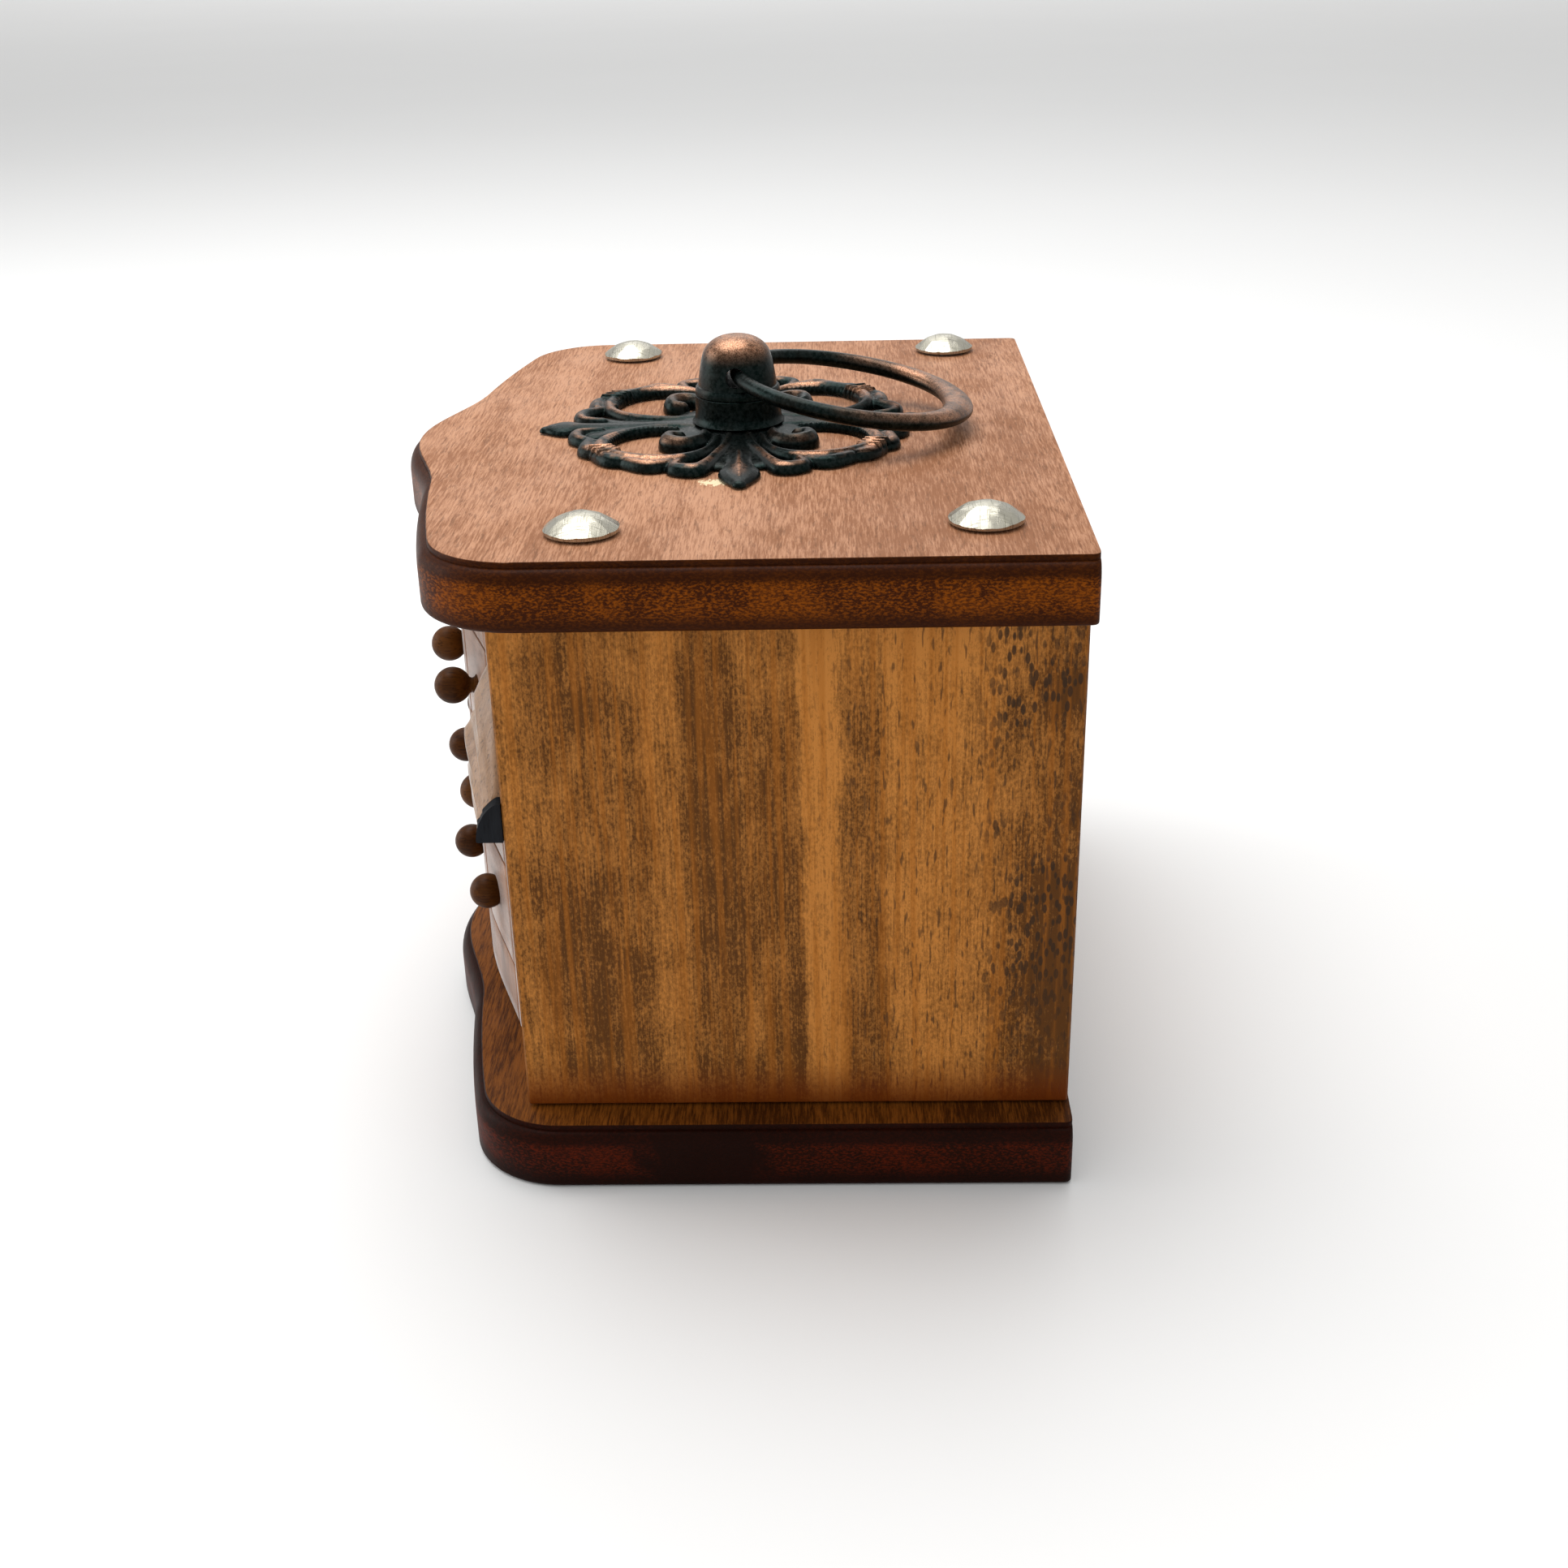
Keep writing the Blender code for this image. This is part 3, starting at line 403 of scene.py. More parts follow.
def bronze_paint(name, worn, least, most):
    """Blackened bronze, rubbed through to copper on upward faces where the worn share is high."""
    paint = Paint(name, 0.38, 0.9, 0.25)
    cloud = paint.noise(paint.place((0.16, 0.16, 0.16), (3.0, 1.0, 0.0)), 3.0, 0.6)
    grit = paint.noise(paint.place((1.6, 1.6, 1.6)), 3.0, 0.65)
    fine = paint.noise(paint.place((6.0, 6.0, 6.0)), 2.0, 0.6)
    upwards = paint.remap(paint.axis("Z", "Normal"), -0.1, 0.7)
    rub = paint.math("MULTIPLY", worn(paint), upwards)
    rub = paint.math("MULTIPLY", rub, paint.remap(cloud, 0.40, 0.60, least, most))
    rub = paint.math("MULTIPLY", rub, paint.remap(grit, 0.30, 0.55, 0.45, 1.0))
    patina = paint.mix(paint.remap(grit, 0.35, 0.7), (0.002, 0.007, 0.006), (0.016, 0.024, 0.023))
    patina = paint.mix(paint.remap(cloud, 0.45, 0.75, 0.0, 0.5), patina, (0.018, 0.013, 0.010))
    copper = paint.mix(paint.remap(fine, 0.35, 0.65), (0.24, 0.095, 0.045), (0.62, 0.34, 0.21))
    colour = paint.mix(rub, patina, copper)
    sheen = paint.remap(grit, 0.3, 0.7, 0.26, 0.44)
    height = paint.math("ADD", grit, paint.math("MULTIPLY", fine, 0.4))
    return paint.finish(colour, height, 0.3, METAL_RELIEF, sheen)


def plate_wear(paint):
    """Tops of the ribs, and only towards the rim of the plate."""
    away = paint.distance(paint.axis("X"), paint.math("SUBTRACT", paint.axis("Y"), POST_Y))
    tops = paint.remap(paint.axis("Z"), PLATE_LOW.z + 1.1 * MM, PLATE_LOW.z + 1.7 * MM)
    return paint.math("MULTIPLY", tops, paint.remap(away, 15 * MM, 21 * MM, 0.12, 1.0))


def post_wear(paint):
    """The crown of the post's dome."""
    return paint.remap(paint.axis("Z"), POST_HIGH.z - 4.4 * MM, POST_HIGH.z - 0.6 * MM)


def ring_wear(paint):
    """The ring's grip, away from the eye."""
    return paint.remap(paint.axis("Y"), POST_Y + 12 * MM, POST_Y + 36 * MM)


def no_wear(paint):
    return 0.0


def nickel_paint():
    """Champagne nickel with hammer pits and criss-cross polishing scratches."""
    paint = Paint("hammered_nickel", 0.3, 0.9, 0.5)
    tone = paint.noise(paint.place((0.35, 0.35, 0.35)), 3.0, 0.6)
    fine = paint.noise(paint.place((5.0, 5.0, 5.0)), 2.0, 0.6)
    first = paint.noise(paint.place((0.25, 7.0, 0.25)), 1.0)
    second = paint.noise(paint.place((7.0, 0.25, 0.25)), 1.0)
    lines = paint.math("MAXIMUM", paint.remap(first, 0.58, 0.66), paint.remap(second, 0.58, 0.66))
    colour = paint.mix(tone, (0.60, 0.575, 0.49), (0.36, 0.34, 0.27))
    colour = paint.mix(paint.math("MULTIPLY", lines, 0.6), colour, (0.16, 0.15, 0.11))
    pits = paint.remap(fine, 0.66, 0.74)
    colour = paint.mix(paint.math("MULTIPLY", pits, 0.6), colour, (0.16, 0.13, 0.09))
    height = paint.math("SUBTRACT", tone, paint.math("ADD", lines, pits))
    return paint.finish(colour, height, 0.2, METAL_RELIEF, paint.remap(tone, 0.3, 0.7, 0.22, 0.40))


def steel_paint():
    paint = Paint("plain_steel", 0.35, 0.9, 0.5)
    turned = paint.noise(paint.place((0.4, 0.4, 5.0)), 2.0)
    colour = paint.mix(turned, (0.50, 0.49, 0.47), (0.30, 0.29, 0.28))
    return paint.finish(colour, turned, 0.2, METAL_RELIEF, paint.remap(turned, 0.3, 0.7, 0.28, 0.45))


FLOOR_PAINT = floor_paint()
TOP_PAINT = board_paint("top_board_wood", TOP_HIGH.z, ((0.50, 0.255, 0.145), (0.27, 0.115, 0.055)),
                        ((0.245, 0.058, 0.001), (0.046, 0.009, 0.0005)), 4.0,
                        chip=(29.2 * MM, -0.9 * MM))
BASE_PAINT = board_paint("base_board_wood", BASE_HIGH.z, ((0.20, 0.062, 0.008), (0.055, 0.015, 0.002)),
                         ((0.088, 0.009, 0.0005), (0.017, 0.003, 0.0005)), 9.0,
                         stain=(-3.0 * MM, 13.0 * MM))
RIGHT_PAINT = panel_paint("panel_wood_right", 1.0)
LEFT_PAINT = panel_paint("panel_wood_left", -1.0)
BACK_PAINT = plain_wood("panel_wood_back", (0.42, 0.18, 0.05), (0.13, 0.055, 0.02), "Z",
                        seed=6.0, figure=0.6, specular=0.22)
FRONT_PAINT = plain_wood("front_wood", (0.30, 0.115, 0.035), (0.085, 0.028, 0.008), "Z", seed=2.0,
                         figure=0.5, roughness=0.42, specular=0.25, veil=0.9)
DRAWER_PAINT = plain_wood("drawer_wood", (0.32, 0.125, 0.038), (0.095, 0.032, 0.009), "X", seed=8.0,
                          figure=0.5, roughness=0.42, specular=0.25, veil=0.9)
# paler, greyer wood on the carved leaf: partly painted reflection, standing for its whitish sheen at a
# grazing view
CARVED_PAINT = plain_wood("carved_wood", (0.36, 0.19, 0.085), (0.11, 0.050, 0.020), "Z", seed=5.0,
                          figure=0.4, roughness=0.38, specular=0.5, veil=1.0)
KNOB_PAINT = plain_wood("knob_wood", (0.12, 0.040, 0.006), (0.036, 0.011, 0.002), "Y", seed=3.0,
                        figure=0.6, roughness=0.40, specular=0.08)
INNER_PAINT = plain_wood("inner_wood", (0.62, 0.43, 0.25), (0.42, 0.26, 0.13), "Y", seed=1.0,
                         figure=0.4, pores=0.25, roughness=0.7, specular=0.15)
EBONY_PAINT = plain_wood("ebony", (0.012, 0.014, 0.018), (0.004, 0.004, 0.005), "Z", seed=7.0,
                         figure=0.5, roughness=0.6, specular=0.12)
PLATE_PAINT = bronze_paint("bronze_plate", plate_wear, 0.0, 0.9)
POST_PAINT = bronze_paint("bronze_post", post_wear, 0.75, 1.0)
RING_PAINT = bronze_paint("bronze_ring", ring_wear, 0.45, 0.9)
COLLAR_PAINT = bronze_paint("bronze_collar", no_wear, 0.0, 0.0)
NICKEL_PAINT = nickel_paint()
STEEL_PAINT = steel_paint()


# ---------------------------------------------------------------- mesh helpers

def spread(start, end, count):
    """Evenly spaced numbers, both ends included."""
    return [start + (end - start) * i / (count - 1) for i in range(count)]


def show(name, mesh, paint, body, replaced=(), sharp=38.0):
    """Links a mesh as a finished piece that rides on a body and stands for its CAD nodes."""
    piece = bpy.data.objects.new(name, mesh)
    bpy.context.scene.collection.objects.link(piece)
    mesh.materials.clear()
    mesh.materials.append(paint)
    mesh.shade_smooth()
    mesh.set_sharp_from_angle(angle=math.radians(sharp))
    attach(piece, body)
    if replaced:
        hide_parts(*replaced)
    return piece


MERGE = 0.002 * MM


def loft(name, rings, ends=True):
    """A closed skin over rings of equal count, capped, or without ends joined last to first."""
    bm = bmesh.new()
    rows = [[bm.verts.new(point) for point in ring] for ring in rings]
    for first, second in zip(rows, rows[1:]):
        for i, vert in enumerate(first):
            j = (i + 1) % len(first)
            bm.faces.new((vert, first[j], second[j], second[i]))
    if ends:
        bm.faces.new(rows[0])
        bm.faces.new(rows[-1])
    else:
        for i, vert in enumerate(rows[0]):
            j = (i + 1) % len(rows[0])
            bm.faces.new((rows[-1][i], rows[-1][j], rows[0][j], vert))
    bmesh.ops.remove_doubles(bm, verts=bm.verts, dist=MERGE)
    bmesh.ops.recalc_face_normals(bm, faces=bm.faces)
    mesh = bpy.data.meshes.new(name)
    bm.to_mesh(mesh)
    bm.free()
    return mesh


def turned(name, profile, sides=64, hollow=False):
    """A profile of (radius, height) points turned round Z; a hollow one is a loop with a bore."""
    rings = []
    for radius, height in profile:
        ring = []
        for i in range(sides):
            angle = 2 * math.pi * i / sides
            ring.append((radius * math.cos(angle), radius * math.sin(angle), height))
        rings.append(ring)
    return loft(name, rings, ends=not hollow)


def smooth_profile(points, steps=6):
    """A Catmull-Rom line through a few profile points."""
    padded = [points[0], *points, points[-1]]
    line = []
    for a, b, c, d in zip(padded, padded[1:], padded[2:], padded[3:]):
        for i in range(steps):
            line.append(tuple(spline(a[k], b[k], c[k], d[k], i / steps) for k in range(len(b))))
    line.append(tuple(points[-1]))
    return line


def spline(a, b, c, d, t):
    """The Catmull-Rom value a share t of the way from b to c."""
    return b + 0.5 * t * (c - a + t * (2 * a - 5 * b + 4 * c - d + t * (3 * (b - c) + d - a)))


def carve(mesh, cutter):
    """The mesh less a cutter mesh, by an exact Boolean that is applied at once."""
    blank = bpy.data.objects.new("blank", mesh)
    tool = bpy.data.objects.new("tool", cutter)
    for item in (blank, tool):
        bpy.context.scene.collection.objects.link(item)
    cut = blank.modifiers.new("cut", "BOOLEAN")
    cut.object = tool
    cut.solver = "EXACT"
    graph = bpy.context.evaluated_depsgraph_get()
    result = bpy.data.meshes.new_from_object(blank.evaluated_get(graph))
    for item in (blank, tool):
        bpy.data.objects.remove(item, do_unlink=True)
    return result


def box_mesh(name, low, high):
    """A cutter box between two corners."""
    corners = [(low[0], low[1]), (high[0], low[1]), (high[0], high[1]), (low[0], high[1])]
    return loft(name, [[(x, y, z) for x, y in corners] for z in (low[2], high[2])])


def rod_mesh(name, radius, start, end, sides=48):
    """A straight rod between two points."""
    start, end = Vector(start), Vector(end)
    turn = (end - start).to_track_quat("Z", "Y").to_matrix()
    rings = []
    for centre in (start, end):
        ring = []
        for i in range(sides):
            angle = 2 * math.pi * i / sides
            ring.append(centre + turn @ Vector((radius * math.cos(angle), radius * math.sin(angle), 0)))
        rings.append(ring)
    return loft(name, rings)


# ---------------------------------------------------------------- boards

OUTLINE_POINTS = 141
BACK_ROUND = 1.1 * MM
BOARD_ARRIS = 0.35 * MM
FILLET = 0.9 * MM
QUARTER_ROUND = 2.9 * MM
BOARD_FOOT = 0.8 * MM


def board_front(x):
    """Distance from the origin plane to the boards' serpentine front edge."""
    lobe = 0.0
    if abs(x) < BOARD_LOBE_HALF:
        lobe = BOARD_LOBE * (1 + math.cos(math.pi * x / BOARD_LOBE_HALF)) / 2
    return BOARD_SHOULDER - BOARD_SWEEP * x * x + lobe


def board_outline(grow):
    """Serpentine front, rounded front corners and a straight back, larger by grow all but behind."""
    slope = math.atan(2 * BOARD_SWEEP * (BOARD_HALF - CORNER_RADIUS))
    turn_x = BOARD_HALF - CORNER_RADIUS * (1 - math.sin(slope))
    step = 0.1 * MM
    front = []
    for x in spread(-turn_x, turn_x, OUTLINE_POINTS):
        outwards = Vector((board_front(x - step) - board_front(x + step), -2 * step)).normalized()
        front.append((x + grow * outwards.x, -board_front(x) + grow * outwards.y))
    centre_x = BOARD_HALF - CORNER_RADIUS
    centre_y = -board_front(turn_x) + CORNER_RADIUS * math.cos(slope)
    radius = CORNER_RADIUS + grow
    corner = []
    for angle in spread(-math.pi / 2 + slope, 0.0, 28)[1:]:
        corner.append((centre_x + radius * math.cos(angle), centre_y + radius * math.sin(angle)))
    side = BOARD_HALF + grow
    right = list(corner)
    for angle in spread(0.0, math.pi / 2, 6):
        inset = BACK_ROUND * (1 - math.cos(angle))
        right.append((side - inset, TOP_HIGH.y - BACK_ROUND * (1 - math.sin(angle))))
    return front + right + [(-x, y) for x, y in reversed(right)]


def board_levels(thick):
    """Depth below the face and step outwards: eased arris, fillet, quarter-round, eased foot."""
    levels = []
    for angle in spread(0.0, math.pi / 2, 4):
        levels.append((BOARD_ARRIS * (1 - math.cos(angle)), BOARD_ARRIS * (math.sin(angle) - 1)))
    for angle in spread(0.0, math.pi / 2, 11):
        levels.append((FILLET + QUARTER_ROUND * (1 - math.cos(angle)), MOULD * math.sin(angle)))
    for angle in spread(0.0, math.pi / 2, 5):
        depth = thick - BOARD_FOOT * (1 - math.sin(angle))
        levels.append((depth, MOULD - BOARD_FOOT * (1 - math.cos(angle))))
    return levels


def make_board(name, low, high, paint, node, bored):
    """A moulded board; a bored one lets the spindle through."""
    rings = []
    for depth, grow in board_levels(high.z - low.z):
        rings.append([(x, y, high.z - depth) for x, y in board_outline(grow)])
    mesh = loft(name, rings)
    if bored:
        start = (0, POST_Y, low.z - MM)
        mesh = carve(mesh, rod_mesh(name + "_bore", BORE_RADIUS, start, (0, POST_Y, high.z + MM)))
    show(name, mesh, paint, "carcass", (node,), 30.0)


# ---------------------------------------------------------------- bowed front

FRONT_EASE = 0.35 * MM
GROOVE_DEPTH = 0.95 * MM
GROOVE_HALF = 0.5 * MM
GROOVE_CLEAR = 0.7 * MM
GROOVE_STATIONS = (-0.6, -0.45, -0.3, -0.1, 0.1, 0.3, 0.45, 0.6)
STATION_STEP = 0.9 * MM
NOTCH_HALF = 5.05 * MM
ROWS = ("bottom", "middle", "top")
SIDES = ((1, "right"), (-1, "left"))


def body_front(x):
    """Place along Y of the bowed front at x, flat beyond the panels."""
    if abs(x) >= BODY_HALF:
        return FRONT_FLAT
    return FRONT_FLAT - BOW * (1 + math.cos(math.pi * x / BODY_HALF)) / 2


def bowed_mesh(name, low, high, grooves=()):
    """A piece of the bowed front with eased edges and upright V grooves."""
    ease = FRONT_EASE
    count = max(3, round((high.x - low.x) / STATION_STEP))
    stations = set(spread(low.x + ease, high.x - ease, count))
    for groove in grooves:
        stations = {x for x in stations if abs(x - groove) > GROOVE_CLEAR}
        stations |= {groove + offset * MM for offset in GROOVE_STATIONS}
    ends = [(low.x, ease), (low.x + 0.3 * ease, 0.3 * ease)]
    ends += [(high.x - 0.3 * ease, 0.3 * ease), (high.x, ease)]
    places = sorted([(x, 0.0) for x in stations] + ends)
    rings = []
    for x, sunk in places:
        for groove in grooves:
            sunk = max(sunk, GROOVE_DEPTH * max(0.0, 1 - abs(x - groove) / GROOVE_HALF))
        y = body_front(x) + sunk
        ring = [(x, high.y, low.z), (x, y + ease, low.z), (x, y + 0.3 * ease, low.z + 0.3 * ease)]
        ring += [(x, y, z) for z in spread(low.z + ease, high.z - ease, 5)]
        ring += [(x, y + 0.3 * ease, high.z - 0.3 * ease), (x, y + ease, high.z), (x, high.y, high.z)]
        rings.append(ring)
    return loft(name, rings)


def make_drawer_fronts():
    for word in ROWS:
        low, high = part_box("drawer_front_" + word)
        quarter = (high.x - low.x) / 4
        grooves = [low.x + quarter * k for k in (1, 2, 3)]
        name = "bowed_front_" + word
        mesh = bowed_mesh(name, low, high, grooves)
        show(name, mesh, DRAWER_PAINT, "drawer_" + word, ("drawer_front_" + word,), 30.0)


def make_rails_and_faces():
    for node in ("rail_bottom", "rail_top", "false_tray_face", "hidden_tray_face"):
        low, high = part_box(node)
        body = "hidden_drawer" if node == "hidden_tray_face" else "carcass"
        mesh = bowed_mesh(node, low, high)
        show("bowed_" + node, mesh, FRONT_PAINT, body, (node,), 30.0)


def make_stiles():
    """Posts beside the drawers, notched round the faces that carry the brackets."""
    for side, word in SIDES:
        low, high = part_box("front_stile_" + word)
        face_low, face_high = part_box("hidden_tray_face" if side > 0 else "false_tray_face")
        inner = abs(face_low.x + face_high.x) / 2 - NOTCH_HALF
        reach = sorted((side * inner, side * BODY_HALF))
        tool = box_mesh("notch", (reach[0], -0.06, face_low.z - GAP), (reach[1], 0.0, face_high.z + GAP))
        mesh = carve(bowed_mesh("stile_" + word, low, high), tool)
        replaced = ("front_stile_" + word,)
        show("bowed_stile_" + word, mesh, FRONT_PAINT, "carcass", replaced, 30.0)


# ---------------------------------------------------------------- knobs

KNOB_BALL = 2.85 * MM
KNOB_LEAST_REACH = 2.2 * MM


def knob_mesh(name, reach):
    """Ball on a waisted neck that flares where it meets the drawer; it points along -Y."""
    profile = []
    for angle in spread(0.0, math.radians(153), 20):
        profile.append((KNOB_BALL * math.sin(angle), KNOB_BALL * math.cos(angle)))
    seat = -reach
    neck_top = profile[-1][1]
    waist = [(1.12 * MM, neck_top - 0.35 * (neck_top - seat)), (1.1 * MM, seat + 0.9 * MM),
             (1.3 * MM, seat + 0.45 * MM), (1.75 * MM, seat + 0.1 * MM), (1.75 * MM, seat - MM)]
    profile += [point for point in waist if point[1] < neck_top]
    profile.append((0.0, seat - MM))
    mesh = turned(name, profile, 40)
    mesh.transform(Matrix.Rotation(math.pi / 2, 4, "X"))
    return mesh


def make_knobs():
    """Each knob's grain is turned its own way round its axis."""
    for word in ROWS:
        for number in (1, 2, 3, 4):
            node = "knob_%s_%d" % (word, number)
            low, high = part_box(node)
            centre = Vector(((low.x + high.x) / 2, low.y + KNOB_BALL, (low.z + high.z) / 2))
            reach = max(body_front(centre.x) - centre.y, KNOB_LEAST_REACH)
            mesh = knob_mesh("turned_" + node, reach)
            turn = Matrix.Rotation(0.7 * number + len(word), 4, "Y")
            mesh.transform(Matrix.Translation(centre) @ turn)
            show("turned_" + node, mesh, KNOB_PAINT, "drawer_" + word, (node,))


# ---------------------------------------------------------------- carved brackets

BRACKET_INNER = 41.6 * MM
BRACKET_OUTER = 57.4 * MM
BRACKET_TIP = 59.0 * MM
BRACKET_FOOT = 54.8 * MM
BRACKET_ROUND = 1.8 * MM
FLUTE_DEPTH = 0.55 * MM
TIP_SUNK = 0.06 * MM


def bracket_flute(t, share):
    """Carved ripples over the leaf, fading towards its edges and its tip."""
    ripple = math.sin(6.5 * math.pi * t + 2.5 * share) + 0.4 * math.sin(15 * math.pi * t - 4.0 * share)
    return FLUTE_DEPTH * ripple * math.sin(math.pi * t) * max(0.0, 1 - share) ** 0.6


def bracket_ring(x, side, sunk=0.0):
    """Section of the leaf at x: full near the middle of the front, a quarter-round at its tip."""
    share = (x - BRACKET_INNER) / (BRACKET_TIP - BRACKET_INNER)
    height = (6.0 + 15.0 * math.cos(min(1.0, share / 0.94) * math.pi / 2) ** 1.1) * MM
    swell = (4.0 + 0.7 * math.sin(math.pi * min(1.0, share * 1.25)) - 0.5 * share ** 3) * MM
    start = min(1.0, (x - BRACKET_INNER) / BRACKET_ROUND)
    swell *= math.sqrt(max(0.0, 1 - (1 - start) ** 2)) * 0.93 + 0.07
    back = body_front(x) - 0.1 * MM
    ring = []
    for t in spread(0.0, 1.0, 41):
        belly = math.sin(math.pi * (0.24 + 0.76 * t)) ** 0.8
        round_off = (1 - 0.98 * t ** 2) ** 0.7
        bulge = belly + (round_off - belly) * share ** 1.5
        y = back - 0.3 * MM - swell * bulge + bracket_flute(t, share) - sunk
        ring.append((side * x, y, BRACKET_FOOT + height * t))
    ring[0] = (side * x, ring[0][1] + 0.2 * MM, BRACKET_FOOT)
    ring.append((side * x, back, BRACKET_FOOT + height))
    ring.append((side * x, back, BRACKET_FOOT))
    return ring


def make_brackets():
    for side, word in SIDES:
        body = "hidden_drawer" if side > 0 else "carcass"
        name = "carved_bracket_" + word
        leaf = loft(name, [bracket_ring(x, side) for x in spread(BRACKET_INNER, BRACKET_OUTER, 44)])
        show(name, leaf, CARVED_PAINT, body, ("scroll_bracket_" + word,), 50.0)
        name = "black_tip_" + word
        stations = spread(BRACKET_OUTER + 0.1 * MM, BRACKET_TIP, 5)
        tip = loft(name, [bracket_ring(x, side, TIP_SUNK) for x in stations])
        show(name, tip, EBONY_PAINT, body, ("bracket_tip_" + word,), 35.0)


# ---------------------------------------------------------------- hammered nails

NAIL_SEED = 12
NAIL_RIM = 0.35 * MM
NAIL_SIDES = 96
NAIL_RINGS = 26
# tilt of each ring of hammer marks, in radians, and how many there are
HAMMER_MARKS = ((0.13, 5), (0.36, 9), (0.60, 13))


def hammer_planes(rng):
    """Tilt and heading of each flat that the hammer left, the level crown first."""
    planes = [(0.0, 0.0)]
    for tilt, count in HAMMER_MARKS:
        start = rng.uniform(0, 2 * math.pi)
        for k in range(count):
            lean = tilt * rng.uniform(0.85, 1.15)
            planes.append((lean, start + 2 * math.pi * (k + rng.uniform(-0.25, 0.25)) / count))
    return planes


def nail_mesh(name, low, high, rng):
    """A low dome of hammered facets: the least of several planes that touch a round cap."""
    radius = (high.x - low.x) / 2
    cap = high.z - low.z - NAIL_RIM
    ball = (radius ** 2 + cap ** 2) / (2 * cap)
    planes = hammer_planes(rng)
    centre = (low + high) / 2
    rings = []
    for share in spread(0.0, 1.0, NAIL_RINGS):
        ring = []
        for i in range(NAIL_SIDES):
            angle = 2 * math.pi * i / NAIL_SIDES
            r = radius * share
            heights = []
            for tilt, heading in planes:
                slope = r * math.cos(angle - heading) * math.sin(tilt)
                heights.append((ball - slope) / math.cos(tilt) - ball)
            dome = math.sqrt(ball ** 2 - r ** 2) - ball
            z = 0.8 * min(heights) + 0.2 * dome - 0.03 * MM
            ring.append((centre.x + r * math.cos(angle), centre.y + r * math.sin(angle), high.z + z))
        rings.append(ring)
    edge = rings[-1]
    for shrink, height in ((0.99, 0.12 * MM), (0.95, 0.0)):
        rings.append([(centre.x + (x - centre.x) * shrink, centre.y + (y - centre.y) * shrink,
                       low.z + height) for x, y, z in edge])
    return loft(name, rings)


def make_nails():
    rng = random.Random(NAIL_SEED)
    for place in ("front", "rear"):
        for _, word in SIDES:
            node = "stud_%s_%s" % (place, word)
            mesh = nail_mesh(node, *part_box(node), rng)
            show("hammered_" + node, mesh, NICKEL_PAINT, "carcass", (node,), 9.0)


# ---------------------------------------------------------------- post, collar and ring

# (radius, height above the resting surface), millimetres
BELL = ((0.0, 113.2), (1.7, 113.08), (3.4, 112.5), (4.75, 111.4), (5.4, 110.0), (5.8, 108.2),
        (6.05, 106.6), (6.15, 105.7))
SKIRT = ((6.18, 105.5), (6.42, 105.42), (6.58, 105.2), (6.66, 104.7), (6.68, 104.15))
EYE_RADIUS = 1.55 * MM


def make_post():
    """Bell-shaped post with a bead line under its eye, on the spindle that goes down into the box."""
    profile = [(r * MM, z * MM) for r, z in smooth_profile(BELL)]
    profile += [(r * MM, z * MM) for r, z in SKIRT]
    profile += [(SPINDLE_RADIUS, SKIRT[-1][1] * MM), (SPINDLE_RADIUS, POST_LOW.z), (0.0, POST_LOW.z)]
    mesh = turned("domed_post", profile, 96)
    mesh.transform(Matrix.Translation((0, POST_Y, 0)))
    reach = 9 * MM
    eye = rod_mesh("eye", EYE_RADIUS, (-reach, POST_Y, EYE_HEIGHT), (reach, POST_Y, EYE_HEIGHT))
    show("domed_post", carve(mesh, eye), POST_PAINT, "post", ("ring_post",), 30.0)


def make_collar():
    """Hollow collar under the post that flares a little where it meets the plate."""
    top = COLLAR_HIGH.z
    foot = COLLAR_LOW.z
    outside = [(6.62 * MM, top), (6.72 * MM, top - 0.1 * MM), (6.78 * MM, top - 2.0 * MM),
               (6.78 * MM, foot + 1.2 * MM), (6.9 * MM, foot + 0.5 * MM), (7.3 * MM, foot + 0.05 * MM),
               (7.3 * MM, foot)]
    profile = [(BORE_RADIUS, top), *outside, (BORE_RADIUS, foot)]
    mesh = turned("bronze_collar", profile, 96, hollow=True)
    mesh.transform(Matrix.Translation((0, POST_Y, 0)))
    show("bronze_collar", mesh, COLLAR_PAINT, "carcass", ("post_collar",), 40.0)


RING_STATIONS = 160
WIRE_SIDES = 24


def make_ring():
    """Ring pull: a thin wire through the eye that broadens inwards to a flat grip opposite."""
    outwards = Vector((0, math.cos(RING_DROOP), -math.sin(RING_DROOP)))
    across = Vector((1, 0, 0))
    normal = across.cross(outwards)
    centre = Vector((0, POST_Y, EYE_HEIGHT)) + RING_RADIUS * outwards
    outer = RING_RADIUS + WIRE_RADIUS
    rings = []
    for i in range(RING_STATIONS):
        angle = 2 * math.pi * i / RING_STATIONS
        radial = -math.cos(angle) * outwards + math.sin(angle) * across
        share = math.sin(angle / 2) ** 2
        thick = (1.12 + 0.31 * share) * MM
        wide = (1.12 + 0.35 * share + 0.95 * share ** 6) * MM
        middle = outer - wide - (1 - share) * (WIRE_RADIUS - thick)
        ring = []
        for k in range(WIRE_SIDES):
            turn = 2 * math.pi * k / WIRE_SIDES
            reach = middle + wide * math.cos(turn)
            ring.append(centre + reach * radial + thick * math.sin(turn) * normal)
        rings.append(ring)
    mesh = loft("drop_ring", rings, ends=False)
    show("drop_ring", mesh, RING_PAINT, "ring", ("pull_ring",), 60.0)


# ---------------------------------------------------------------- pierced plate

RIB_SIDES = 14
BEAD_SIDES = 12
RIB_AXIS = 0.1


